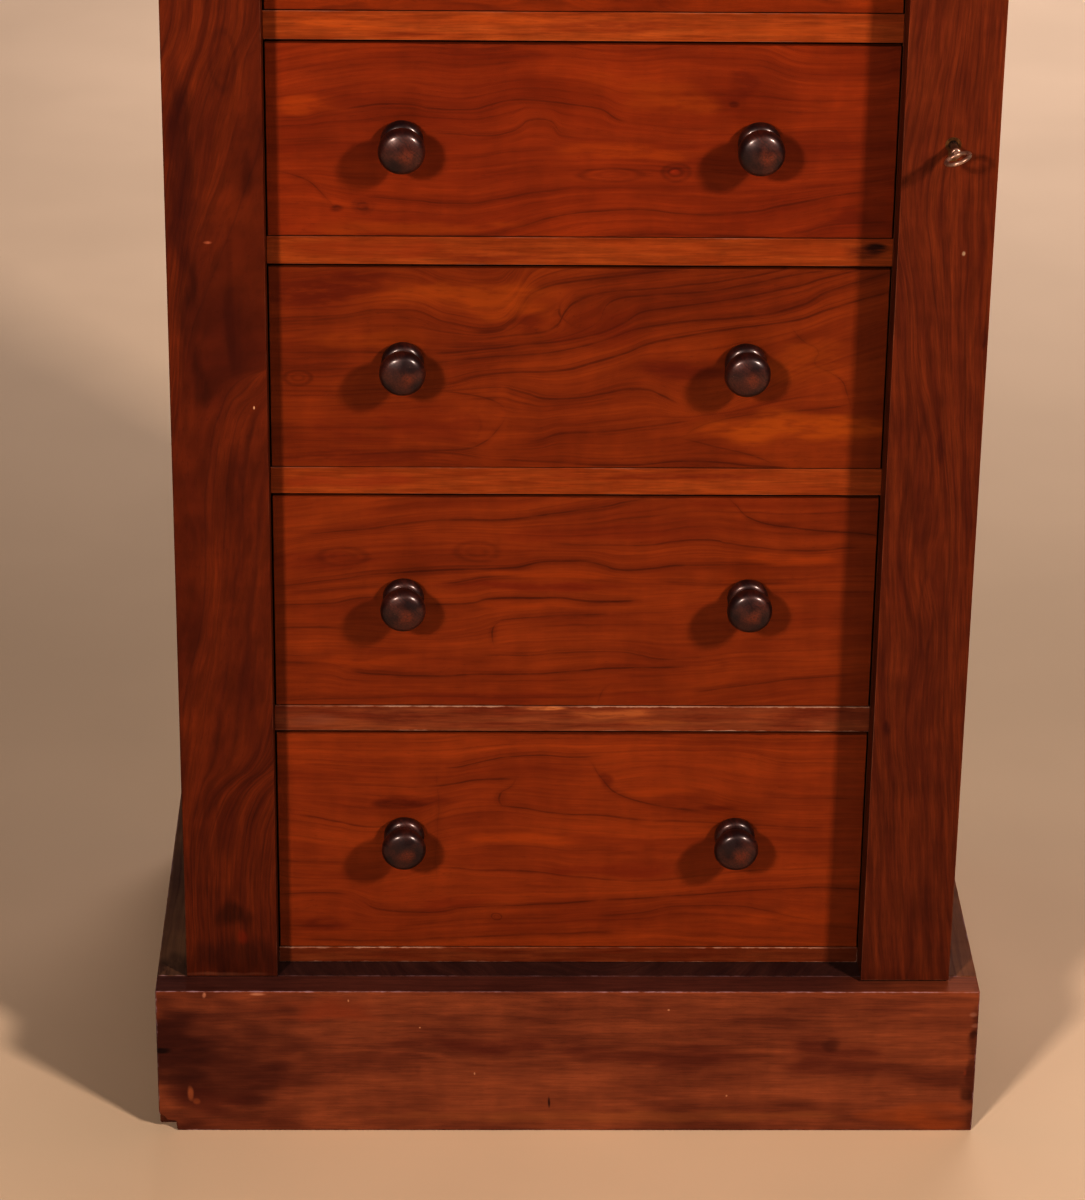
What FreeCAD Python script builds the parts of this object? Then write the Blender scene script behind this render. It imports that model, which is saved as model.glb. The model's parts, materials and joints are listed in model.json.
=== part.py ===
import FreeCAD, Part

import math
import operator
import os

import Sketcher
from FreeCAD import Rotation, Vector

# A seven-drawer semainier with a hinged locking pilaster, in millimetres.
# +Z is up, the front faces -Y, and the origin is on the floor at the centre of the whole piece's box.

doc = FreeCAD.newDocument("semainier")

# ---------------------------------------------------------------- driving dimensions

drivingDimensions = {
    # carcass
    "carcassWidth": 540,
    "sideThickness": 20,
    "backThickness": 10,
    "rebate": 10,
    "stileThickness": 22,
    "railHeight": 19.5,
    "railDepth": 50,
    "bottomRailHeight": 12.5,
    "tenon": 12,
    "subTopThickness": 18,
    "friezeHeight": 45,
    "topThickness": 24.5,
    "topOverhang": 17,
    "topRound": 3,
    "topOvolo": 14,
    "coveSize": 13,
    "runnerWidth": 60,
    "guideWidth": 20,
    "guideHeight": 14,
    "stopThickness": 5,
    "stopWidth": 40,
    # pilasters
    "pilasterWidth": 64.5,
    "pilasterProud": 20.5,
    "flapWidth": 62.5,
    "flapProud": 27,
    "flapGap": 1,
    "flapEndGap": 1.5,
    # plinth
    "plinthWidth": 582,
    "plinthDepth": 430,
    "plinthHeight": 115,
    "plinthBoard": 22,
    "drawerSetback": 41,
    "bearer": 26,
    "chipWidth": 13,
    "chipHeight": 11,
    # drawers, numbered from the bottom
    "openingOne": 172.5,
    "openingTwo": 160,
    "openingThree": 145.5,
    "openingFour": 134,
    "openingFive": 123,
    "openingSix": 112,
    "openingSeven": 101,
    "frontThickness": 20,
    "frontSideGap": 1,
    "frontTopGap": 2,
    "runningGap": 0.5,
    "sideBoard": 10,
    "backBoard": 8,
    "bottomBoard": 6,
    "bottomRise": 9,
    "groove": 5,
    "boxSetDown": 6,
    "rearGap": 6,
    "tailLength": 13,
    "tailNarrow": 14,
    "tailWide": 20,
    # knobs
    "knobSpread": 116,
    "knobRiseOne": 6.5,
    "knobRiseTwo": 5,
    "knobRiseThree": 5.5,
    "knobRiseFour": 0.5,
    "knobRiseFive": 2,
    "knobRiseSix": 2,
    "knobRiseSeven": 2,
    "knobShiftOne": 0,
    "knobShiftTwo": 3.5,
    "knobShiftThree": -3.5,
    "knobShiftFour": 0.5,
    "knobShiftFive": 0,
    "knobShiftSix": 1,
    "knobShiftSeven": -1,
    "knobShank": 5,
    "knobCollar": 14.2,
    "collarRound": 5.4,
    "knobRing": 2.2,
    "knobCove": 1.2,
    "knobBall": 15.4,
    "ballRound": 6.4,
    "ballCentre": 25,
    "knobReach": 33.2,
    # flap hinges
    "hingeHeight": 50,
    "hingeLow": 95,
    "leafThickness": 1.6,
    "leafWidth": 15,
    "leafGap": 0.2,
    "knuckleRadius": 2.5,
    "knuckleGap": 0.3,
    "knuckleOffset": 0.8,
    "pinRadius": 1.25,
    "pinClearance": 0.05,
    "screwRadius": 1.3,
    "screwHead": 2.6,
    "screwLength": 11,
    "screwInset": 9,
    # lock
    "lockRise": 623.5,
    "keyInset": 30,
    "caseWidth": 34,
    "caseHeight": 44,
    "caseDepth": 12,
    "caseWall": 1.5,
    "boltWidth": 10,
    "boltThickness": 2.5,
    "boltTop": 13.2,
    "boltBottom": 17,
    "boltInner": 3.5,
    "boltSetback": 5,
    "stapleThickness": 3,
    "stapleClearance": 0.4,
    "linkWidth": 24,
    "linkHeight": 40,
    "linkThickness": 1.5,
    # key and escutcheon
    "keyReach": 37,
    "keyShank": 2.5,
    "keyClearance": 0.06,
    "keyCollar": 3.6,
    "keyCollarLength": 2.8,
    "bowRadius": 7.9,
    "bowThickness": 1.5,
    "bitRadius": 5.5,
    "bitLength": 4.5,
    "bitThickness": 2.2,
    "keyTurn": 22,
    "escutcheonRadius": 5.2,
    "escutcheonLeg": 6,
    "escutcheonDrop": 11,
    "escutcheonDepth": 2.5,
    "escutcheonProud": 0.3,
    "keyholeRadius": 2.9,
    "keyholeSlot": 2.7,
    "keyholeDrop": 8.5,
}

sheet = doc.addObject("Spreadsheet::Sheet", "Dims")
for row, (alias, number) in enumerate(drivingDimensions.items(), start=1):
    sheet.set(f"A{row}", alias)
    sheet.set(f"B{row}", str(number))
    sheet.setAlias(f"B{row}", alias)
doc.recompute()


class Length:
    # a length that knows its number and the sheet expression that gives it
    def __init__(self, number, text):
        self.number = number
        self.text = text

    def __add__(self, other):
        return joined(self, "+", other)

    def __radd__(self, other):
        return joined(other, "+", self)

    def __sub__(self, other):
        return joined(self, "-", other)

    def __rsub__(self, other):
        return joined(other, "-", self)

    def __mul__(self, other):
        return joined(self, "*", other)

    def __rmul__(self, other):
        return joined(other, "*", self)

    def __truediv__(self, other):
        return joined(self, "/", other)

    def __neg__(self):
        return joined(-1, "*", self)


signs = {"+": operator.add, "-": operator.sub, "*": operator.mul, "/": operator.truediv}


def asLength(item):
    if isinstance(item, Length):
        return item
    return Length(item, f"({item})")


def joined(first, sign, second):
    first = asLength(first)
    second = asLength(second)
    number = signs[sign](first.number, second.number)
    return Length(number, f"({first.text} {sign} {second.text})")


class Dimensions:
    def __getattr__(self, alias):
        return Length(float(sheet.get(alias)), f"Dims.{alias}")


dims = Dimensions()


# ---------------------------------------------------------------- ways of making a piece


def bind(item, **lengths):
    for name, length in lengths.items():
        item.setExpression(name, asLength(length).text)
    return item


def place(item, x=0, y=0, z=0):
    for axis, length in (("x", x), ("y", y), ("z", z)):
        item.setExpression(f"Placement.Base.{axis}", asLength(length).text)
    return item


def board(name, x, y, z):
    # a squared board between two planes on each axis
    item = doc.addObject("Part::Box", name)
    bind(item, Length=x[1] - x[0], Width=y[1] - y[0], Height=z[1] - z[0])
    return place(item, x[0], y[0], z[0])


upward = Vector(0, 0, 1)
inward = Vector(0, 1, 0)
outward = Vector(0, -1, 0)


def rod(name, radius, length, axis, x, y, z):
    # a cylinder that starts at a point and runs along an axis
    item = doc.addObject("Part::Cylinder", name)
    bind(item, Radius=radius, Height=length)
    item.Placement.Rotation = Rotation(upward, axis)
    return place(item, x, y, z)


def dovetail(name, x, y, z):
    # a tail that is wide at its end y[0] and narrow at the shoulder y[1]
    item = doc.addObject("Part::Wedge", name)
    spread = (dims.tailWide - dims.tailNarrow) / 2
    bind(item, Xmin=0, X2min=0, Ymin=0, Zmin=0, Z2min=spread)
    bind(item, Xmax=x[1] - x[0], X2max=x[1] - x[0], Ymax=y[1] - y[0])
    bind(item, Zmax=dims.tailWide, Z2max=dims.tailWide - spread)
    return place(item, x[0], y[0], z - dims.tailWide / 2)


def fused(name, *items):
    item = doc.addObject("Part::MultiFuse", name)
    item.Shapes = list(items)
    return item


def grouped(name, *items):
    # separate solids that share one node
    item = doc.addObject("Part::Compound", name)
    item.Links = list(items)
    return item


def cut(name, base, *tools):
    item = doc.addObject("Part::Cut", name)
    item.Base = base
    item.Tool = tools[0] if len(tools) == 1 else fused(f"{name}_tools", *tools)
    return item


def originPlane(body, role):
    return next(item for item in body.Origin.OriginFeatures if item.Role == role)


def newSketch(body, name, role):
    sketch = body.newObject("Sketcher::SketchObject", name)
    sketch.AttachmentSupport = (originPlane(body, role), [""])
    sketch.MapMode = "FlatFace"
    return sketch


def hold(sketch, geometry, point, kind, length):
    length = asLength(length)
    index = sketch.addConstraint(Sketcher.Constraint(kind, -1, 1, geometry, point, length.number))
    sketch.setExpression(f"Constraints[{index}]", length.text)


def pin(sketch, geometry, point, u, v):
    # holds one point of a sketch at a place that the sheet gives
    hold(sketch, geometry, point, "DistanceX", u)
    hold(sketch, geometry, point, "DistanceY", v)


def setRadius(sketch, geometry, length):
    index = sketch.addConstraint(Sketcher.Constraint("Radius", geometry, length.number))
    sketch.setExpression(f"Constraints[{index}]", length.text)


def follow(sketch, first, second):
    sketch.addConstraint(Sketcher.Constraint("Coincident", first, 2, second, 1))


def outline(sketch, points):
    # a closed polygon whose corners are all held by the sheet
    corners = [Vector(asLength(u).number, asLength(v).number, 0) for u, v in points]
    count = len(points)
    lines = []
    for index in range(count):
        line = Part.LineSegment(corners[index], corners[(index + 1) % count])
        lines.append(sketch.addGeometry(line, False))
    for index, (u, v) in enumerate(points):
        follow(sketch, lines[index - 1], lines[index])
        pin(sketch, lines[index], 1, u, v)


def padded(name, role, points, length, x=0, y=0, z=0):
    # a body whose outline on an origin plane is padded by a length
    body = doc.addObject("PartDesign::Body", name)
    sketch = newSketch(body, f"{name}_outline", role)
    outline(sketch, points)
    pad = body.newObject("PartDesign::Pad", f"{name}_pad")
    pad.Profile = sketch
    bind(pad, Length=length)
    return place(body, x, y, z)


# ---------------------------------------------------------------- main planes

keyOverhang = dims.keyReach - (dims.drawerSetback - dims.flapProud)
rearPlane = (dims.plinthDepth + keyOverhang) / 2
plinthFront = rearPlane - dims.plinthDepth
frontPlane = plinthFront + dims.drawerSetback
pilasterPlane = frontPlane - dims.pilasterProud
flapPlane = frontPlane - dims.flapProud
flapBack = frontPlane - dims.flapGap
backPlane = rearPlane - dims.backThickness

outerLeft = dims.carcassWidth / -2
outerRight = dims.carcassWidth / 2
innerLeft = outerLeft + dims.sideThickness
innerRight = outerRight - dims.sideThickness
drawersLeft = outerLeft + dims.pilasterWidth
drawersRight = outerRight - dims.flapWidth

carcassBase = dims.plinthHeight
numbers = ["One", "Two", "Three", "Four", "Five", "Six", "Seven"]
openingBottom = {}
openingTop = {}
level = carcassBase + dims.bottomRailHeight
for number in numbers:
    openingBottom[number] = level
    openingTop[number] = level + getattr(dims, f"opening{number}")
    level = openingTop[number] + dims.railHeight
caseTop = openingTop["Seven"]
friezeTop = caseTop + dims.friezeHeight
wholeTop = friezeTop + dims.topThickness

stileY = (frontPlane, frontPlane + dims.stileThickness)
railY = (frontPlane, frontPlane + dims.railDepth)
insideY = (stileY[1], backPlane)
runnerY = (railY[1], backPlane)


# ---------------------------------------------------------------- plinth


def makePlinth():
    half = dims.plinthWidth / 2
    inner = half - dims.plinthBoard
    height = (asLength(0), carcassBase)
    behind = plinthFront + dims.plinthBoard
    front = board("plinth_front_blank", (-half, half), (plinthFront, behind), height)
    chip = padded(
        "plinth_chip",
        "XZ_Plane",
        [
            (-half - 1, -1),
            (-half + dims.chipWidth, -1),
            (-half + dims.chipWidth - 1, dims.chipHeight * 0.7),
            (-half + dims.chipWidth * 0.45, dims.chipHeight * 0.75),
            (-half + dims.chipWidth * 0.3, dims.chipHeight),
            (-half - 1, dims.chipHeight * 1.35),
        ],
        dims.plinthBoard / 2,
        y=plinthFront + dims.plinthBoard / 2 - 0.5,
    )
    kept = [cut("plinth_front", front, chip)]
    kept.append(
        grouped(
            "plinth_sides",
            board("plinth_left", (-half, -inner), (behind, rearPlane), height),
            board("plinth_right", (inner, half), (behind, rearPlane), height),
        )
    )
    backY = (rearPlane - dims.plinthBoard, rearPlane)
    kept.append(board("plinth_back", (-inner, inner), backY, height))
    low = carcassBase - dims.bearer
    pieces = [
        board("bearer_front", (-inner, inner), (behind, behind + dims.bearer), (low, carcassBase)),
        board("bearer_back", (-inner, inner), (backY[0] - dims.bearer, backY[0]), (low, carcassBase)),
    ]
    sideY = (behind + dims.bearer, backY[0] - dims.bearer)
    for name, x in (("left", (-inner, -inner + dims.bearer)), ("right", (inner - dims.bearer, inner))):
        pieces.append(board(f"bearer_{name}", x, sideY, (low, carcassBase)))
        for end, y in (
            ("front", (behind, behind + dims.bearer)),
            ("back", (backY[0] - dims.bearer, backY[0])),
        ):
            pieces.append(board(f"corner_block_{end}_{name}", x, y, (asLength(0), low)))
    kept.append(grouped("plinth_blocks", *pieces))
    return kept


# ---------------------------------------------------------------- carcass


def makeCarcass():
    wholeY = (frontPlane, rearPlane)
    wholeZ = (carcassBase, friezeTop)
    rebateY = (backPlane, rearPlane)
    kept = []

    leftRebate = (innerLeft - dims.rebate, innerLeft)
    left = board("side_left_blank", (outerLeft, innerLeft), wholeY, wholeZ)
    kept.append(cut("side_left", left, board("rebate_left", leftRebate, rebateY, wholeZ)))

    rightRebate = (innerRight, innerRight + dims.rebate)
    right = board("side_right_blank", (innerRight, outerRight), wholeY, wholeZ)
    recesses = [board("rebate_right", rightRebate, rebateY, wholeZ)]
    recesses += hingeRecesses("side", frontPlane, frontPlane + dims.leafThickness - dims.leafGap)
    recesses += hingeScrews("side_hole", inward, fixedLeafFace)
    kept.append(cut("side_right", right, *recesses))

    inside = (innerLeft, innerRight)
    floorZ = (carcassBase, carcassBase + dims.bottomRailHeight)
    kept.append(board("carcass_bottom", inside, insideY, floorZ))
    subTopZ = (friezeTop - dims.subTopThickness, friezeTop)
    kept.append(board("sub_top", inside, insideY, subTopZ))
    kept.append(board("top_rail", inside, stileY, (caseTop, friezeTop)))

    planks = []
    count = 4
    plankWidth = (dims.carcassWidth - 2 * (dims.sideThickness - dims.rebate)) / count
    for index in range(count):
        start = innerLeft - dims.rebate + plankWidth * index
        planks.append(board(f"back_plank_{index + 1}", (start, start + plankWidth), rebateY, wholeZ))
    kept.append(grouped("back_boards", *planks))

    stileZ = (carcassBase, caseTop)
    kept.append(
        cut(
            "stile_left",
            board("stile_left_blank", (innerLeft, drawersLeft), stileY, stileZ),
            *railMortices("left", drawersLeft - dims.tenon),
        )
    )
    kept.append(
        cut(
            "stile_right",
            board("stile_right_blank", (drawersRight, innerRight), stileY, stileZ),
            *railMortices("right", drawersRight),
            board("link_recess", linkX, (frontPlane, frontPlane + dims.linkThickness), linkZ),
            *linkScrews("link_hole"),
        )
    )
    kept.append(
        board("pilaster_left", (outerLeft, drawersLeft), (pilasterPlane, frontPlane), stileZ)
    )
    return kept


def railMortices(side, start):
    # pockets in a stile for the rails' tenons
    pockets = []
    for number in numbers[:-1]:
        z = (openingTop[number], openingBottom[nextNumber(number)])
        pocketX = (start, start + dims.tenon)
        pockets.append(board(f"mortice_{side}_{number}", pocketX, tenonY, tenonHeight(z)))
    return pockets


def nextNumber(number):
    return numbers[numbers.index(number) + 1]


def tenonHeight(z):
    return (z[0] + 3, z[1] - 3)


tenonY = (frontPlane + 6, frontPlane + dims.stileThickness - 6)


def makeRails():
    rails = []
    for number in numbers[:-1]:
        z = (openingTop[number], openingBottom[nextNumber(number)])
        body = board(f"rail_body_{number}", (drawersLeft, drawersRight), railY, z)
        tongues = (drawersLeft - dims.tenon, drawersRight + dims.tenon)
        rails.append(
            fused(f"rail_{number}", body, board(f"rail_tenon_{number}", tongues, tenonY, tenonHeight(z)))
        )
    bottomZ = (carcassBase, carcassBase + dims.bottomRailHeight)
    return [
        grouped("drawer_rails", *rails),
        board("bottom_rail", (drawersLeft, drawersRight), stileY, bottomZ),
    ]


def makeRunners():
    # a runner and a guide at each end of every drawer, and two stops behind each front
    runners = []
    guides = []
    stops = []
    stopY = (frontPlane + dims.frontThickness + dims.runningGap, railY[1] - 6)
    inset = 60
    farStop = drawersRight - inset - dims.stopWidth
    runnerEnds = (innerLeft + dims.runnerWidth, innerRight - dims.runnerWidth)
    ends = {
        "left": (innerLeft, runnerEnds[0], drawersLeft - dims.guideWidth, drawersLeft + inset),
        "right": (runnerEnds[1], innerRight, drawersRight, farStop),
    }
    guideY = (runnerY[0], runnerY[1] - dims.guideWidth)
    for number in numbers:
        for side, (start, end, guideStart, stopStart) in ends.items():
            floor = openingBottom[number]
            if number != "One":
                runnerZ = (floor - dims.railHeight, floor)
                runners.append(board(f"runner_{side}_{number}", (start, end), runnerY, runnerZ))
            guideX = (guideStart, guideStart + dims.guideWidth)
            guideZ = (floor, floor + dims.guideHeight)
            guides.append(board(f"guide_{side}_{number}", guideX, guideY, guideZ))
            stopX = (stopStart, stopStart + dims.stopWidth)
            stopZ = (floor, floor + dims.stopThickness)
            stops.append(board(f"stop_{side}_{number}", stopX, stopY, stopZ))
    return [
        grouped("drawer_runners", *runners),
        grouped("drawer_guides", *guides),
        grouped("drawer_stops", *stops),
    ]


# ---------------------------------------------------------------- frieze, cove moulding and top

quarterTurn = math.pi / 2
coveLip = 2


def makeTop():
    friezeFront = flapPlane - dims.runningGap
    frontX = (outerLeft, outerRight)
    frieze = board("frieze", frontX, (friezeFront, frontPlane), (caseTop, friezeTop))

    half = dims.plinthWidth / 2
    topFront = friezeFront - dims.topOverhang
    blank = board("top_blank", (-half, half), (topFront, rearPlane), (friezeTop, wholeTop))
    doc.recompute()
    top = doc.addObject("Part::Fillet", "top_board")
    top.Base = blank
    top.Edges = roundedEdges(blank.Shape, topFront.number)

    size = dims.coveSize
    low = friezeTop - size
    depth = rearPlane - friezeFront + size
    front = coveStrip("cove_front", dims.carcassWidth + size * 2, outerLeft - size, friezeFront, low, 0)
    left = coveStrip("cove_left", depth, outerLeft, rearPlane, low, -90)
    right = coveStrip("cove_right", depth, outerRight, friezeFront - size, low, 90)
    mitreLeft = mitre("mitre_left", outerLeft, friezeFront, low, -1, False)
    mitreRight = mitre("mitre_right", outerRight, friezeFront, low, 1, False)
    moulding = grouped(
        "top_moulding",
        cut("cove_front_mitred", front, mitreLeft, mitreRight),
        cut("cove_left_mitred", left, mitre("mitre_left_end", outerLeft, friezeFront, low, -1, True)),
        cut("cove_right_mitred", right, mitre("mitre_right_end", outerRight, friezeFront, low, 1, True)),
    )
    return [frieze, top, moulding]


def roundedEdges(shape, frontY):
    # the upper and lower edges of the top's front and ends, as fillets of two sizes
    rounded = []
    for index, edge in enumerate(shape.Edges, start=1):
        box = edge.BoundBox
        level = box.ZLength < 0.01
        atBack = box.YLength < 0.01 and box.YMin > frontY + 1
        if level and not atBack:
            upper = box.ZMin > friezeTop.number + 1
            radius = dims.topRound.number if upper else dims.topOvolo.number
            rounded.append((index, radius, radius))
    return rounded


def coveStrip(name, length, x, y, z, turn):
    # a strip with a hollow face, square to the frieze and the top
    size = dims.coveSize
    hollowRadius = size - coveLip
    body = doc.addObject("PartDesign::Body", name)
    sketch = newSketch(body, f"{name}_section", "YZ_Plane")
    circle = Part.Circle(Vector(-size.number, 0, 0), Vector(0, 0, 1), hollowRadius.number)
    hollow = sketch.addGeometry(Part.ArcOfCircle(circle, 0, quarterTurn), False)
    corners = [(-size, hollowRadius), (-size, size), (0, size), (0, 0), (-coveLip, 0)]
    chain = [hollow]
    for start, end in zip(corners, corners[1:]):
        ends = [Vector(asLength(u).number, asLength(v).number, 0) for u, v in (start, end)]
        chain.append(sketch.addGeometry(Part.LineSegment(*ends), False))
        follow(sketch, chain[-2], chain[-1])
        pin(sketch, chain[-1], 1, *start)
    follow(sketch, chain[-1], hollow)
    pin(sketch, hollow, 1, *corners[-1])
    setRadius(sketch, hollow, hollowRadius)
    pad = body.newObject("PartDesign::Pad", f"{name}_pad")
    pad.Profile = sketch
    bind(pad, Length=length)
    body.Placement.Rotation = Rotation(upward, turn)
    return place(body, x, y, z)


def mitre(name, x, y, z, side, ofSideStrip):
    # the wedge on one side of a corner's 45 degree plane
    size = dims.coveSize
    reach = size * 2
    corner = (0, -reach) if ofSideStrip else (side * reach, 0)
    points = [(0, 0), corner, (side * reach, -reach)]
    return padded(name, "XY_Plane", points, size * 2, x, y, z - size / 2)


# ---------------------------------------------------------------- drawers


def makeDrawer(index, number):
    floor = openingBottom[number] + dims.runningGap
    ceiling = openingTop[number] - dims.frontTopGap
    left = drawersLeft + dims.frontSideGap
    right = drawersRight - dims.frontSideGap
    rear = backPlane - dims.rearGap
    frontRear = frontPlane + dims.frontThickness
    name = f"drawer_{index}"

    tails = {"left": [], "right": []}
    sides = {"left": (left, left + dims.sideBoard), "right": (right - dims.sideBoard, right)}
    boxTop = ceiling - dims.boxSetDown
    for side, x in sides.items():
        for row in range(3):
            share = (row + 0.5) / 3
            z = floor + (boxTop - floor) * share
            tailY = (frontRear - dims.tailLength, frontRear)
            tails[side].append(dovetail(f"{name}_tail_{side}_{row + 1}", x, tailY, z))

    grooveZ = (floor + dims.bottomRise, floor + dims.bottomRise + dims.bottomBoard)
    bottomX = (left + dims.sideBoard - dims.groove, right - dims.sideBoard + dims.groove)
    bottomY = (frontRear - dims.groove, rear)

    middle = (openingBottom[number] + openingTop[number]) / 2
    knobZ = middle + getattr(dims, f"knobRise{number}")
    knobX = {
        "left": -dims.knobSpread,
        "right": dims.knobSpread + getattr(dims, f"knobShift{number}"),
    }
    bores = []
    knobs = []
    for side, x in knobX.items():
        thickness = dims.frontThickness
        bores.append(rod(f"{name}_bore_{side}", dims.knobShank, thickness, inward, x, frontPlane, knobZ))
        knobs.append(turnedKnob(f"{name}_knob_{side}", x, knobZ))

    frontBlank = board(f"{name}_front_blank", (left, right), (frontPlane, frontRear), (floor, ceiling))
    frontGroove = board(f"{name}_front_groove", bottomX, (bottomY[0], frontRear), grooveZ)
    front = cut(f"{name}_front", frontBlank, frontGroove, *bores, *tails["left"], *tails["right"])

    walls = []
    for side, x in sides.items():
        blank = board(f"{name}_side_blank_{side}", x, (frontRear, rear), (floor, boxTop))
        tailed = fused(f"{name}_side_tailed_{side}", blank, *tails[side])
        inner = (x[1] - dims.groove, x[1]) if side == "left" else (x[0], x[0] + dims.groove)
        slot = board(f"{name}_side_groove_{side}", inner, bottomY, grooveZ)
        walls.append(cut(f"{name}_side_{side}", tailed, slot))
    backX = (left + dims.sideBoard, right - dims.sideBoard)
    backZ = (grooveZ[1], boxTop - dims.boxSetDown)
    walls.append(board(f"{name}_back", backX, (rear - dims.backBoard, rear), backZ))

    bottom = board(f"{name}_bottom", bottomX, bottomY, grooveZ)
    return [front, grouped(f"{name}_box", *walls), bottom, grouped(f"{name}_knobs", *knobs)]


def turnedKnob(name, x, z):
    # turned about Y: shank, rounded collar, small ring, cove, neck and a flattened ball
    body = doc.addObject("PartDesign::Body", name)
    sketch = newSketch(body, f"{name}_profile", "XY_Plane")
    shank = dims.knobShank
    collar = dims.knobCollar - dims.collarRound
    ringEnd = 2 * (dims.collarRound + dims.knobRing)
    neck = collar - dims.knobCove
    neckStart = ringEnd + dims.knobCove
    roundX = dims.knobBall - dims.ballRound

    def point(radius, along):
        return Vector(asLength(radius).number, -asLength(along).number, 0)

    def line(start, end):
        return sketch.addGeometry(Part.LineSegment(point(*start), point(*end)), False)

    def arc(centre, radius, first, last):
        # counter-clockwise on the sketch, between two angles in degrees
        circle = Part.Circle(point(*centre), Vector(0, 0, 1), radius.number)
        ends = (math.radians(first), math.radians(last))
        return sketch.addGeometry(Part.ArcOfCircle(circle, *ends), False)

    depth = -dims.frontThickness
    axis = line((0, dims.knobReach), (0, depth))
    end = line((0, depth), (shank, depth))
    stem = line((shank, depth), (shank, 0))
    base = line((shank, 0), (collar, 0))
    bead = arc((collar, dims.collarRound), dims.collarRound, -90, 90)
    ring = arc((collar, 2 * dims.collarRound + dims.knobRing), dims.knobRing, -90, 90)
    cove = arc((collar, neckStart), dims.knobCove, 90, 180)
    neckEnd = neckStart + 2.3
    neckLine = line((neck, neckStart), (neck, neckEnd))
    belly = arc((roundX, dims.ballCentre), dims.ballRound, -67, 103)
    dome = arc((0, 3.8), dims.knobReach - 3.8, -90, -67)

    for first, second in ((axis, end), (end, stem), (stem, base)):
        follow(sketch, first, second)
    pin(sketch, end, 1, 0, -depth)
    pin(sketch, stem, 1, shank, -depth)
    pin(sketch, base, 1, shank, 0)
    pin(sketch, base, 2, collar, 0)
    # each arc's lower point on the sketch is its start, because it runs counter-clockwise
    sketch.addConstraint(Sketcher.Constraint("Coincident", base, 2, bead, 2))
    pin(sketch, bead, 1, collar, -2 * dims.collarRound)
    hold(sketch, bead, 3, "DistanceX", collar)
    sketch.addConstraint(Sketcher.Constraint("Coincident", bead, 1, ring, 2))
    pin(sketch, ring, 1, collar, -ringEnd)
    hold(sketch, ring, 3, "DistanceX", collar)
    sketch.addConstraint(Sketcher.Constraint("Coincident", ring, 1, cove, 1))
    pin(sketch, cove, 2, neck, -neckStart)
    setRadius(sketch, cove, dims.knobCove)
    sketch.addConstraint(Sketcher.Constraint("Coincident", cove, 2, neckLine, 1))
    sketch.addConstraint(Sketcher.Constraint("Vertical", neckLine))
    sketch.addConstraint(Sketcher.Constraint("Coincident", neckLine, 2, belly, 2))
    pin(sketch, belly, 3, roundX, -dims.ballCentre)
    setRadius(sketch, belly, dims.ballRound)
    sketch.addConstraint(Sketcher.Constraint("Tangent", belly, 1, dome, 2))
    sketch.addConstraint(Sketcher.Constraint("PointOnObject", dome, 3, -2))
    sketch.addConstraint(Sketcher.Constraint("Coincident", dome, 1, axis, 1))
    pin(sketch, axis, 1, 0, -dims.knobReach)

    turned = body.newObject("PartDesign::Revolution", f"{name}_turned")
    turned.Profile = sketch
    turned.ReferenceAxis = (sketch, ["V_Axis"])
    turned.Angle = 360
    return place(body, x, frontPlane, z)


# ---------------------------------------------------------------- flap and hinges

hingeX = outerRight + dims.knuckleOffset
hingeY = frontPlane - dims.flapGap / 2
flapZ = (carcassBase + dims.flapEndGap, caseTop - dims.flapEndGap)
hingeStarts = [
    flapZ[0] + dims.hingeLow,
    (flapZ[0] + flapZ[1] - dims.hingeHeight) / 2 - dims.hingeLow,
    flapZ[1] - dims.hingeLow - dims.hingeHeight,
]
leafOuter = hingeX - dims.knuckleRadius - dims.leafGap
leafX = (leafOuter - dims.leafWidth, leafOuter)
fixedLeafFace = frontPlane - dims.leafGap
flapLeafFace = flapBack + dims.leafGap
screwX = leafX[0] + dims.leafWidth / 2


def knuckleRod(name, radius, z):
    # a cylinder about the hinge axis between two levels
    return rod(name, radius, z[1] - z[0], upward, hingeX, hingeY, z[0])


def hingeRecesses(name, nearY, farY):
    # a shallow housing for each leaf and a hollow for its knuckles
    tools = []
    clearance = dims.knuckleRadius + dims.knuckleGap
    for index, start in enumerate(hingeStarts, start=1):
        z = (start, start + dims.hingeHeight)
        tools.append(board(f"{name}_leaf_recess_{index}", (leafX[0], hingeX), (nearY, farY), z))
        tools.append(knuckleRod(f"{name}_knuckle_recess_{index}", clearance, z))
    return tools


def hingeScrews(name, axis, faceY):
    # countersunk screws, or the holes they leave
    return [
        countersunkScrew(f"{name}_{index}_{end}", axis, screwX, faceY, z)
        for index, start in enumerate(hingeStarts, start=1)
        for end, z in (
            ("low", start + dims.screwInset),
            ("high", start + dims.hingeHeight - dims.screwInset),
        )
    ]


def countersunkScrew(name, axis, x, y, z):
    head = doc.addObject("Part::Cone", f"{name}_head")
    bind(head, Radius1=dims.screwHead, Radius2=dims.screwRadius, Height=dims.leafThickness)
    head.Placement.Rotation = Rotation(upward, axis)
    place(head, x, y, z)
    shank = rod(f"{name}_shank", dims.screwRadius, dims.screwLength, axis, x, y, z)
    return fused(name, head, shank)


def leaf(name, start, plateY, knuckles):
    # a leaf's plate, and a tab with a knuckle for each stretch of the pin it holds
    z = (start, start + dims.hingeHeight)
    parts = [board(f"{name}_plate", leafX, plateY, z)]
    for index, (low, high) in enumerate(knuckles, start=1):
        parts.append(board(f"{name}_tab_{index}", (leafX[1], hingeX), plateY, (low, high)))
        parts.append(knuckleRod(f"{name}_knuckle_{index}", dims.knuckleRadius, (low, high)))
    bore = knuckleRod(f"{name}_pin_hole", dims.pinRadius + dims.pinClearance, z)
    return fused(f"{name}_solid", *parts), bore


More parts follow.
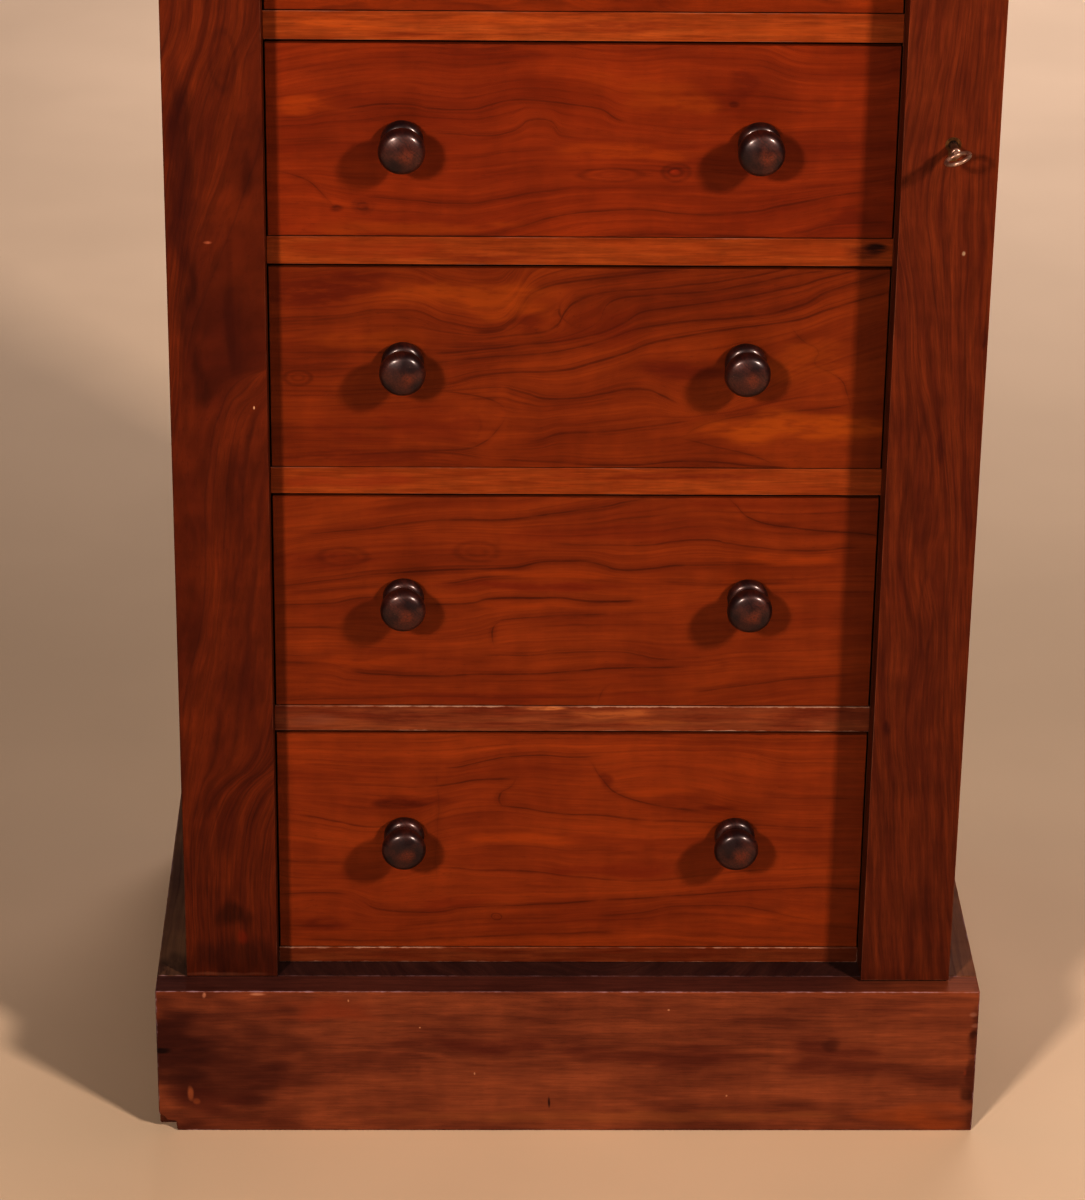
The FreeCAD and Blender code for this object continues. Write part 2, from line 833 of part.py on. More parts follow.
def makeHinges():
    third = dims.hingeHeight / 3
    gap = dims.knuckleGap / 2
    fixedLeaves = []
    flapLeaves = []
    pins = []
    for index, start in enumerate(hingeStarts, start=1):
        ends = [(start, start + third - gap), (start + 2 * third + gap, start + dims.hingeHeight)]
        centre = [(start + third + gap, start + 2 * third - gap)]
        fixedY = (fixedLeafFace, fixedLeafFace + dims.leafThickness)
        flapY = (flapLeafFace - dims.leafThickness, flapLeafFace)
        solid, bore = leaf(f"carcass_leaf_{index}", start, fixedY, ends)
        holes = screwPair(f"carcass_leaf_hole_{index}", inward, fixedLeafFace, start)
        fixedLeaves.append(cut(f"carcass_leaf_{index}", solid, bore, *holes))
        solid, bore = leaf(f"flap_leaf_{index}", start, flapY, centre)
        holes = screwPair(f"flap_leaf_hole_{index}", outward, flapLeafFace, start)
        flapLeaves.append(cut(f"flap_leaf_{index}", solid, bore, *holes))
        pins.append(knuckleRod(f"pin_{index}", dims.pinRadius, (start, start + dims.hingeHeight)))
    return [
        grouped("hinge_leaves_carcass", *fixedLeaves),
        grouped("hinge_leaves_flap", *flapLeaves),
        grouped("hinge_pins", *pins),
        grouped(
            "carcass_screws",
            *hingeScrews("carcass_screw", inward, fixedLeafFace),
            *linkScrews("link_screw"),
        ),
        grouped("flap_screws", *hingeScrews("flap_screw", outward, flapLeafFace)),
    ]


def screwPair(name, axis, faceY, start):
    return [
        countersunkScrew(f"{name}_{end}", axis, screwX, faceY, z)
        for end, z in (
            ("low", start + dims.screwInset),
            ("high", start + dims.hingeHeight - dims.screwInset),
        )
    ]


# ---------------------------------------------------------------- lock and key

keyX = outerRight - dims.keyInset
keyZ = carcassBase + dims.lockRise
caseX = (keyX - dims.caseWidth / 2 - 1, keyX + dims.caseWidth / 2 - 1)
caseY = (flapBack - dims.caseDepth, flapBack)
caseZ = (keyZ - dims.caseHeight / 2, keyZ + dims.caseHeight / 2)
boltX = (keyX - dims.boltInner - dims.boltWidth, keyX - dims.boltInner)
boltY = (flapBack - dims.boltSetback - dims.boltThickness, flapBack - dims.boltSetback)
linkX = (keyX - 18, keyX - 18 + dims.linkWidth)
linkZ = (keyZ - dims.linkHeight / 2, keyZ + dims.linkHeight / 2)
stapleZ = (keyZ + 14, keyZ + 14 + dims.stapleThickness)


def keyhole(name, radius, slot, drop, y):
    # a round hole over a slot, cut between two planes
    hole = rod(f"{name}_round", radius, y[1] - y[0], inward, keyX, y[0], keyZ)
    leg = board(f"{name}_leg", (keyX - slot / 2, keyX + slot / 2), y, (keyZ - drop, keyZ))
    return fused(name, hole, leg)


def linkScrews(name):
    return [
        countersunkScrew(f"{name}_{end}", inward, linkX[0] + dims.linkWidth * 0.7, frontPlane, z)
        for end, z in (("low", linkZ[0] + 5), ("high", linkZ[1] - 5))
    ]


def makeLock():
    wall = dims.caseWall
    clearance = dims.stapleClearance
    inside = board(
        "case_inside",
        (caseX[0] + wall, caseX[1] - wall),
        (caseY[0] + wall, caseY[1] - wall),
        (caseZ[0] + wall, caseZ[1] - wall),
    )
    stapleX = (boltX[0] - 1, boltX[1] + 1.5)
    slotX = (stapleX[0] - 1.8, stapleX[1] + clearance)
    slotZ = (stapleZ[0] - clearance, stapleZ[1] + clearance)
    slot = board("case_staple_slot", slotX, (caseY[1] - wall, caseY[1]), slotZ)
    holeRadius = dims.keyShank + dims.keyClearance
    slotWidth = dims.bitThickness + 0.4
    slotDrop = dims.bitRadius + 0.4
    frontHole = keyhole("case_keyhole", holeRadius, slotWidth, slotDrop, (caseY[0], caseY[0] + wall))
    tipHole = rod("case_tip_hole", holeRadius, wall, inward, keyX, caseY[1] - wall, keyZ)
    blank = board("lock_case_blank", caseX, caseY, caseZ)
    case = cut("lock_case", blank, inside, slot, frontHole, tipHole)

    turnBack = dims.keyTurn / 90 * 3
    notchX = (keyX - dims.bitRadius - 0.6, boltX[1])
    boltBlank = board("bolt_blank", boltX, boltY, (keyZ - dims.boltBottom, keyZ + dims.boltTop))
    notch = board("bolt_notch", notchX, boltY, (keyZ - turnBack - 4.6, keyZ - turnBack + 4.6))
    bolt = cut("lock_bolt", boltBlank, notch)

    plate = board("link_plate_blank", linkX, (frontPlane, frontPlane + dims.linkThickness), linkZ)
    stapleFar = boltY[0] - clearance - 1.4
    block = board("staple_block", stapleX, (stapleFar, frontPlane + dims.linkThickness), stapleZ)
    eye = board(
        "staple_eye",
        (boltX[0] - clearance, boltX[1] + clearance),
        (boltY[0] - clearance, boltY[1] + clearance),
        stapleZ,
    )
    link = cut("link_plate", fused("link_plate_solid", plate, block), eye, *linkScrews("link_plate_hole"))
    return [case, bolt, link]


def makeEscutcheon():
    # a thin plate in the shape of the keyhole, let into the flap and a little proud of it
    front = flapPlane - dims.escutcheonProud
    y = (front, front + dims.escutcheonDepth)
    radius = dims.escutcheonRadius
    outer = keyhole("escutcheon_outer", radius, dims.escutcheonLeg, dims.escutcheonDrop, y)
    radius = dims.keyholeRadius
    inner = keyhole("escutcheon_inner", radius, dims.keyholeSlot, dims.keyholeDrop, y)
    return cut("escutcheon", outer, inner)


def makeKey():
    # the bow's ring lies nearly level, turned a little about the shank
    tip = flapBack - 0.3
    bowCentre = flapPlane - dims.keyReach + dims.bowRadius + dims.bowThickness
    bowRear = bowCentre + dims.bowRadius
    turn = Rotation(inward, -drivingDimensions["keyTurn"])
    shank = rod("key_shank", dims.keyShank, tip - bowRear, inward, keyX, bowRear, keyZ)
    collarY = bowRear + dims.bowThickness
    collar = rod("key_collar_blank", dims.keyCollar, dims.keyCollarLength, inward, keyX, collarY, keyZ)
    doc.recompute()
    rounded = doc.addObject("Part::Fillet", "key_collar")
    rounded.Base = collar
    rounded.Edges = [
        (index, 1.1, 1.1)
        for index, edge in enumerate(collar.Shape.Edges, start=1)
        if edge.BoundBox.YLength < 0.01
    ]
    bow = doc.addObject("Part::Torus", "key_bow")
    bind(bow, Radius1=dims.bowRadius, Radius2=dims.bowThickness)
    bow.Placement.Rotation = turn
    place(bow, keyX, bowCentre, keyZ)
    bit = doc.addObject("Part::Box", "key_bit")
    bind(bit, Length=dims.bitRadius, Width=dims.bitLength, Height=dims.bitThickness)
    bit.Placement.Rotation = turn.multiply(Rotation(inward, 180))
    bitRear = boltY[1] + 1
    half = dims.bitThickness.number / 2
    offset = bit.Placement.Rotation.multVec(Vector(0, 0, -half))
    place(bit, keyX + offset.x, bitRear - dims.bitLength, keyZ + offset.z)
    return fused("key", shank, rounded, bow, bit)


def makeFlap():
    blank = board("flap_blank", (drawersRight, outerRight), (flapPlane, flapBack), flapZ)
    recesses = hingeRecesses("flap", flapBack - dims.leafThickness + dims.leafGap, flapBack)
    recesses += hingeScrews("flap_hole", outward, flapLeafFace)
    recesses.append(board("lock_recess", caseX, caseY, caseZ))
    ringY = (flapPlane, flapPlane - dims.escutcheonProud + dims.escutcheonDepth)
    radius = dims.escutcheonRadius
    leg = dims.escutcheonLeg
    recesses.append(keyhole("escutcheon_recess", radius, leg, dims.escutcheonDrop, ringY))
    radius = dims.keyholeRadius
    slot = dims.keyholeSlot
    holeY = (flapPlane, caseY[0])
    recesses.append(keyhole("flap_keyhole", radius, slot, dims.keyholeDrop, holeY))
    return cut("flap", blank, *recesses)


# ---------------------------------------------------------------- the whole chest

kept = makePlinth() + makeCarcass() + makeRails() + makeRunners() + makeTop()
for index, number in enumerate(numbers, start=1):
    kept += makeDrawer(index, number)
kept += makeHinges() + makeLock()
kept += [makeEscutcheon(), makeKey(), makeFlap()]
doc.recompute()

for item in doc.Objects:
    if "Invalid" in item.State or "Error" in item.State:
        raise RuntimeError(f"{item.Label} failed: {item.State}")
for item in kept:
    shape = item.Shape
    if shape.isNull() or not shape.isValid():
        raise RuntimeError(f"{item.Label} has no valid shape")

os.makedirs("parts", exist_ok=True)
for item in kept:
    item.Shape.exportStep(f"parts/{item.Label}.step")
    print(f"{item.Label}: {len(item.Shape.Solids)} solids, {item.Shape.Volume / 1000:.1f} cm3")
print(f"{len(kept)} nodes")
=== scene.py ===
import json
import math
import random

import bmesh
import bpy
from mathutils import Matrix, Vector, noise

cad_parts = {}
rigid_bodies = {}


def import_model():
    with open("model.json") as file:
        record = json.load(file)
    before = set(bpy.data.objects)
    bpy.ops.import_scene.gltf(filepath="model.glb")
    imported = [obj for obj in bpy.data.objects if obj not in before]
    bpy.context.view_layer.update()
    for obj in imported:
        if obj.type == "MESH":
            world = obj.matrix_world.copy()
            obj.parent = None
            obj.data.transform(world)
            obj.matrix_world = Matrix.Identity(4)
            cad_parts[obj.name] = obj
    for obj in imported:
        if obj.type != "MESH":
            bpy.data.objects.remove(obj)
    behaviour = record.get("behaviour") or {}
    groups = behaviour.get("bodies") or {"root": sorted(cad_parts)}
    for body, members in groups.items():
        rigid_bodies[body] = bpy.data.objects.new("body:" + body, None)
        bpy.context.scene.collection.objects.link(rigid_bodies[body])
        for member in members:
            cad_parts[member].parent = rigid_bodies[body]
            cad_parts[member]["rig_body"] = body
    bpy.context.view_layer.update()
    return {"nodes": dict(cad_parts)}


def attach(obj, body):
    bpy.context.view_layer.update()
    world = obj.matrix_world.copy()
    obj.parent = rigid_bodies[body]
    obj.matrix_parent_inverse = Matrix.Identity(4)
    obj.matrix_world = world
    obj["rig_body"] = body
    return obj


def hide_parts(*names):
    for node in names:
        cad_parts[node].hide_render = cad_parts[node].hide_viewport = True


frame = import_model()
mm = 0.001
perMetre = 1000        # millimetres in a metre
micronsPerMetre = 1e6
boardMarks = ("boardLow", "boardHigh", "boardShift")    # each board's box and the chance shift of its grain
grainShift = 4000      # the furthest that a board's grain is moved by chance, in millimetres
throughBoard = 400     # half depth of a patch that goes right through any board, in millimetres
curveMargin = 1.0      # room left above and below a drawn line, in millimetres
flatWithin, edgeOver = 0.8, 32      # degrees: faces that count as one flat face, and corners that get eased
print("frame loaded:", len(frame["nodes"]), "nodes")


def paint(code):
    # a web colour as linear light
    shares = [int(code[start:start + 2], 16) / 255 for start in (1, 3, 5)]
    return tuple(s / 12.92 if s <= 0.04045 else ((s + 0.055) / 1.055) ** 2.4 for s in shares) + (1.0,)


class NodeDesk:
    # short ways to add and wire nodes in one tree
    def __init__(self, tree):
        self.tree = tree
        self.count = 0

    def add(self, kind, **settings):
        node = self.tree.nodes.new(kind)
        node.location = (self.count % 14 * 190, -(self.count // 14) * 260)
        self.count += 1
        for name, value in settings.items():
            setattr(node, name, value)
        return node

    def feed(self, socket, value):
        if isinstance(value, bpy.types.NodeSocket):
            self.tree.links.new(value, socket)
        elif value is not None:
            socket.default_value = value

    def maths(self, operation, first, second=None, third=None, clamp=False):
        node = self.add("ShaderNodeMath", operation=operation, use_clamp=clamp)
        for socket, value in zip(node.inputs, (first, second, third)):
            self.feed(socket, value)
        return node.outputs[0]

    def plus(self, first, second):
        return self.maths("ADD", first, second)

    def minus(self, first, second):
        return self.maths("SUBTRACT", first, second)

    def times(self, first, second):
        return self.maths("MULTIPLY", first, second)

    def vector(self, operation, first, second=None):
        node = self.add("ShaderNodeVectorMath", operation=operation)
        self.feed(node.inputs[0], first)
        self.feed(node.inputs["Scale" if operation == "SCALE" else 1], second)
        return node.outputs["Value" if operation == "LENGTH" else "Vector"]

    def split(self, vector):
        node = self.add("ShaderNodeSeparateXYZ")
        self.feed(node.inputs[0], vector)
        return list(node.outputs)

    def join(self, x, y, z):
        node = self.add("ShaderNodeCombineXYZ")
        for socket, value in zip(node.inputs, (x, y, z)):
            self.feed(socket, value)
        return node.outputs[0]

    def grain(self, place, stretch, detail=2.0, roughness=0.5):
        # noise whose cells are as long as stretch says; gives its value and its colour
        place = self.vector("MULTIPLY", place, tuple(1 / s for s in stretch))
        node = self.add("ShaderNodeTexNoise", noise_dimensions="3D")
        for name, value in (("Vector", place), ("Scale", 1.0), ("Detail", detail), ("Roughness", roughness)):
            self.feed(node.inputs[name], value)
        return node.outputs[0], node.outputs[1]

    def lineNoise(self, value, detail, roughness):
        node = self.add("ShaderNodeTexNoise", noise_dimensions="1D")
        for name, item in (("W", value), ("Scale", 1.0), ("Detail", detail), ("Roughness", roughness)):
            self.feed(node.inputs[name], item)
        return node.outputs[0]

    def span(self, value, low, high, toLow=0.0, toHigh=1.0, kind="SMOOTHSTEP"):
        node = self.add("ShaderNodeMapRange", interpolation_type=kind, clamp=True)
        for socket, item in zip(node.inputs, (value, low, high, toLow, toHigh)):
            self.feed(socket, item)
        return node.outputs[0]

    def blend(self, share, first, second):
        node = self.add("ShaderNodeMix", data_type="RGBA")
        for index, value in ((0, share), (6, first), (7, second)):      # the sockets of its colour side
            self.feed(node.inputs[index], value)
        return node.outputs[2]

    def bump(self, height, distance, strength, normal=None):
        node = self.add("ShaderNodeBump")
        for name, value in (("Height", height), ("Distance", distance), ("Strength", strength),
                            ("Normal", normal)):
            self.feed(node.inputs[name], value)
        return node.outputs[0]

    def curve(self, value, points):
        # a smooth curve through the points, read at the value
        start, end = points[0][0], points[-1][0]
        heights = [height for _, height in points]
        low, high = min(heights) - curveMargin, max(heights) + curveMargin
        node = self.add("ShaderNodeFloatCurve")
        spots = [((at - start) / (end - start), (height - low) / (high - low)) for at, height in points]
        line = node.mapping.curves[0]
        line.points[0].location, line.points[-1].location = spots[0], spots[-1]
        for spot in spots[1:-1]:
            line.points.new(*spot)
        node.mapping.update()
        self.feed(node.inputs["Value"], self.span(value, start, end, kind="LINEAR"))
        return self.maths("MULTIPLY_ADD", node.outputs[0], high - low, low)

    def group(self, shared, **given):
        node = self.add("ShaderNodeGroup", node_tree=shared)
        for name, value in given.items():
            self.feed(node.inputs[name], value)
        return node.outputs


def startGroup(name, inputs, outputs):
    # a shared shader group; gives its desk, its inputs and the node that takes its results
    tree = bpy.data.node_groups.new(name, "ShaderNodeTree")
    for side, sockets in (("INPUT", inputs), ("OUTPUT", outputs)):
        for socketName, kind in sockets.items():
            tree.interface.new_socket(socketName, in_out=side, socket_type="NodeSocket" + kind)
    desk = NodeDesk(tree)
    return desk, desk.add("NodeGroupInput").outputs, desk.add("NodeGroupOutput").inputs


def makeBoardSpace():
    # millimetres from the board's own centre, its random shift, and the distance to its nearest edge
    desk, _, result = startGroup("Board space", {}, {"Local": "Vector", "Shift": "Vector", "Edge": "Float"})
    place = desk.vector("SCALE", desk.add("ShaderNodeTexCoord").outputs["Object"], perMetre)
    low, high, shift = (desk.add("ShaderNodeAttribute", attribute_name=name).outputs["Vector"]
                        for name in boardMarks)
    centre = desk.vector("SCALE", desk.vector("ADD", low, high), 0.5)
    half = desk.vector("SCALE", desk.vector("SUBTRACT", high, low), 0.5)
    local = desk.vector("SUBTRACT", place, centre)
    x, y, z = desk.split(desk.vector("SUBTRACT", half, desk.vector("ABSOLUTE", local)))
    lesser = desk.maths("MINIMUM", x, y)
    greater = desk.maths("MAXIMUM", x, y)
    edge = desk.maths("MAXIMUM", lesser, desk.maths("MINIMUM", greater, z))
    for name, value in (("Local", local), ("Shift", shift), ("Edge", edge)):
        desk.feed(result[name], value)
    return desk.tree


def makeTreeGrowth():
    # distance from the pith of the tree that the board was sawn from, swaying along the grain
    desk, given, result = startGroup(
        "Tree growth",
        {"Local": "Vector", "Loose": "Vector", "Across": "Float", "Depth": "Float", "Lean": "Float",
         "Sway": "Float", "Ripple": "Float"},
        {"Growth": "Float", "Warp": "Vector"},
    )
    along, across, depth = desk.split(given["Local"])
    sway = desk.vector("SUBTRACT", desk.grain(given["Loose"], (230, 60, 60), 1.5)[1], (0.5, 0.5, 0.5))
    ripple = desk.vector("SUBTRACT", desk.grain(given["Loose"], (46, 18, 26), 1.4, 0.5)[1], (0.5, 0.5, 0.5))
    sway = desk.vector("SCALE", sway, given["Sway"])
    one, two, _ = desk.split(desk.vector("ADD", sway, desk.vector("SCALE", ripple, given["Ripple"])))
    side = desk.plus(desk.minus(across, given["Across"]), one)
    lean = desk.times(along, given["Lean"])
    back = desk.plus(desk.minus(desk.minus(depth, given["Depth"]), lean), two)
    squares = desk.plus(desk.times(side, side), desk.times(back, back))
    desk.feed(result["Growth"], desk.maths("SQRT", squares))
    desk.feed(result["Warp"], ripple)
    return desk.tree


def makeSwell():
    # a soft-edged patch on the face, which lifts the growth rings or carries a mark
    desk, given, result = startGroup(
        "Swell",
        {"Local": "Vector", "Warp": "Vector", "Centre": "Vector", "Reach": "Vector", "Ragged": "Float",
         "Inner": "Float", "Lift": "Float", "Growth": "Float"},
        {"Growth": "Float", "Inside": "Float"},
    )
    offset = desk.vector("DIVIDE", desk.vector("SUBTRACT", given["Local"], given["Centre"]), given["Reach"])
    ragged = desk.vector("SCALE", given["Warp"], given["Ragged"])
    distance = desk.vector("LENGTH", desk.vector("ADD", offset, ragged))
    inside = desk.span(distance, given["Inner"], 1.0, 1.0, 0.0)
    desk.feed(result["Growth"], desk.maths("MULTIPLY_ADD", inside, given["Lift"], given["Growth"]))
    desk.feed(result["Inside"], inside)
    return desk.tree


def makeRingLines():
    # a dark late-wood line somewhere in each ring, slow to darken and quick to end
    inputs = dict.fromkeys(("Growth", "Spacing", "Softness"), "Float")
    desk, given, result = startGroup("Ring lines", inputs, {"Line": "Float"})
    counted = desk.maths("DIVIDE", given["Growth"], given["Spacing"])
    white = desk.add("ShaderNodeTexWhiteNoise", noise_dimensions="1D")
    desk.feed(white.inputs["W"], desk.maths("FLOOR", counted))
    strength, _, _ = desk.split(white.outputs["Color"])
    seat = desk.maths("MULTIPLY_ADD", white.outputs["Value"], 0.42, 0.46)
    past = desk.minus(desk.maths("FRACT", counted), seat)
    before = desk.maths("POWER", desk.span(past, -0.46, 0.0, kind="LINEAR"), 2.0)
    after = desk.span(past, 0.0, given["Softness"], 1.0, 0.0)
    line = desk.times(desk.maths("MINIMUM", before, after), desk.span(strength, 0.1, 0.95, 0.12, 1.0))
    desk.feed(result["Line"], line)
    return desk.tree


def makeFibre():
    # streaks and open pores along the grain, and faint bands across it
    desk, given, result = startGroup(
        "Fibre", {"Loose": "Vector"}, {"Streak": "Float", "Pore": "Float", "Mottle": "Float"}
    )
    desk.feed(result["Streak"], desk.grain(given["Loose"], (26, 1.5, 1.5), 3.5, 0.6)[0])
    pore = desk.grain(given["Loose"], (4.5, 0.4, 0.4), 1.0)[0]
    desk.feed(result["Pore"], desk.span(pore, 0.62, 0.74))
    desk.feed(result["Mottle"], desk.grain(given["Loose"], (13, 42, 42), 2.0)[0])
    return desk.tree


def makeGrainStroke():
    # part of one dark grain line: a narrow core with a soft skirt, fading out at both ends
    inputs = dict.fromkeys(("Along", "Away", "Start", "End", "Width", "Strength"), "Float")
    desk, given, result = startGroup("Grain stroke", inputs, {"Line": "Float"})
    away = desk.maths("ABSOLUTE", given["Away"])
    core = desk.span(away, 0.0, given["Width"], 1.0, 0.0)
    skirt = desk.span(away, 0.0, desk.times(given["Width"], 3.5), 0.4, 0.0)
    fadeIn = (-4.0, 12.0)
    first = desk.span(desk.minus(given["Along"], given["Start"]), *fadeIn)
    last = desk.span(desk.minus(given["End"], given["Along"]), *fadeIn)
    shown = desk.times(desk.times(first, last), given["Strength"])
    desk.feed(result["Line"], desk.times(desk.maths("MAXIMUM", core, skirt), shown))
    return desk.tree


def makeGrainStep():
    # how far a point has come from one flow line up to the next, added to the growth so far
    inputs = dict.fromkeys(("Lower", "Upper", "Rise", "Growth"), "Float")
    desk, given, result = startGroup("Grain step", inputs, {"Growth": "Float"})
    share = desk.maths("DIVIDE", given["Lower"], desk.minus(given["Lower"], given["Upper"]), clamp=True)
    desk.feed(result["Growth"], desk.maths("MULTIPLY_ADD", share, given["Rise"], given["Growth"]))
    return desk.tree


def makeGrainLoop():
    # dark outline round a small oval where the saw cut a wave in the rings
    desk, given, result = startGroup(
        "Grain loop", {"Local": "Vector", "Centre": "Vector", "Reach": "Vector", "Strength": "Float"},
        {"Line": "Float"},
    )
    offset = desk.vector("DIVIDE", desk.vector("SUBTRACT", given["Local"], given["Centre"]), given["Reach"])
    distance = desk.vector("LENGTH", offset)
    outer, inner = (desk.span(desk.maths("ABSOLUTE", desk.minus(distance, reach)), 0.0, width, strength, 0.0)
                    for reach, width, strength in ((0.9, 0.3, 1.0), (0.4, 0.25, 0.55)))
    desk.feed(result["Line"], desk.times(desk.maths("MAXIMUM", outer, inner), given["Strength"]))
    return desk.tree


boardSpace = makeBoardSpace()
treeGrowth = makeTreeGrowth()
swell = makeSwell()
ringLines = makeRingLines()
fibre = makeFibre()
grainStroke = makeGrainStroke()
grainStep = makeGrainStep()
grainLoop = makeGrainLoop()


def newFinish(name):
    # a material with its shader wired up; gives both and the desk for the rest
    material = bpy.data.materials.new(name)
    material.use_nodes = True
    material.node_tree.nodes.clear()
    desk = NodeDesk(material.node_tree)
    shader = desk.add("ShaderNodeBsdfPrincipled")
    output = desk.add("ShaderNodeOutputMaterial")
    material.node_tree.links.new(shader.outputs[0], output.inputs[0])
    return material, desk, shader


# walnut is the drawer fronts' timber; its edge colour is dark, dirt and painted shade in the gaps round each
# front
walnut = {
    "deep": "#6e3415", "light": "#8b4a1d", "line": "#461e13", "pore": "#4f2516", "edgeWearAndPaintedLight": "#422116",
    "lineDepth": 0.5, "fineDepth": 0.1, "poreDepth": 0.16, "mottle": 0.035, "sheen": 0.46, "gloss": 0.13,
    "edgeWearAndPaintedLightWidth": 1.0, "wear": 0.55, "coat": 0.04,
}
# the rails' pale edge colour is wear and a painted highlight where their top edges catch the light
paleRail = dict(walnut, deep="#7d441d", light="#90572b", line="#562b18", edgeWearAndPaintedLight="#9e8c88", edgeWearAndPaintedLightWidth=1.2,
                wear=0.26, lineDepth=0.45)
rubbedRail = dict(paleRail, deep="#6a351b", light="#845230", edgeWearAndPaintedLight="#a69082", edgeWearAndPaintedLightWidth=2.2, wear=0.85)
darkWalnut = dict(walnut, deep="#5f311e", light="#7a4526", line="#3e1d17", edgeWearAndPaintedLight="#866f5d", wear=0.3)
leftWalnut = dict(darkWalnut, deep="#5a2d18", light="#75401d")
plinthWalnut = dict(darkWalnut, deep="#633a26", light="#895838", line="#441f1a", edgeWearAndPaintedLight="#a0909a", wear=0.6,
                    edgeWearAndPaintedLightWidth=1.7)
plinthInner = dict(plinthWalnut, deep="#432c29", light="#593e36", wear=0.2)
caseWalnut = dict(darkWalnut, deep="#622d1b", light="#814623")
topWalnut = dict(caseWalnut, sheen=0.66, gloss=0.09, coat=0.0)
pine = {
    "deep": "#a8885a", "light": "#c4aa7e", "line": "#987041", "pore": "#8c663c", "edgeWearAndPaintedLight": "#c1af90",
    "lineDepth": 0.6, "fineDepth": 0.3, "poreDepth": 0.12, "mottle": 0.05, "sheen": 0.68, "gloss": 0.2,
    "edgeWearAndPaintedLightWidth": 1.5, "wear": 0.3, "coat": 0.0,
}

# board settings: which way the grain runs, where the pith lay, how lively the figure is;
# swells are (along, across, half length, half height, lift) in millimetres from the board's centre,
# marks are (along, across, half length, half height, colour, strength);
# flows are lines that the grain follows from end to end, highest first, each with its dark parts as
# (start, end, strength, width); strokes are other dark lines (points, strength, width), turned ones run
# across the board with points (across, along); loops are (along, across, half length, half height, strength);
# paintedFootShade darkens a board over paintedFootShadeSpan towards its low end, a painted shade;
# topDirtAndPaintedLight tints what lies above topDirtAndPaintedLightAbove, to die away over
# topDirtAndPaintedLightSpan: dust and painted shade on the plinth front's top, a painted reflection on the
# side boards' tops
plainBoard = {
    "axes": "XZY", "across": -120, "depth": 260, "lean": 0.0, "sway": 24, "ripple": 8.0,
    "spacing": 3.4, "swells": (), "marks": (), "cloud": (95, 27, 60), "toneSpan": (0.44, 1.16),
    "flows": (), "strokes": (), "turned": (), "loops": (), "ringShare": 1.0, "drawn": 0.5,
    "streaks": 0.065, "broken": (24, 5, 8), "evenness": 0.35, "tint": (1.0, 1.0, 1.0),
    "paintedFootShade": 1.0, "paintedFootShadeSpan": (-480, 360), "topDirtAndPaintedLightAbove": 0, "topDirtAndPaintedLightSpan": (170, 240), "topDirtAndPaintedLight": (1.0, 1.0, 1.0),
}
umber, chestnut, nearBlack = "#602917", "#6a2a18", "#3a1a12"      # stains that several boards share
amber, honey, dust = "#a25b20", "#995b20", "#b8997f"
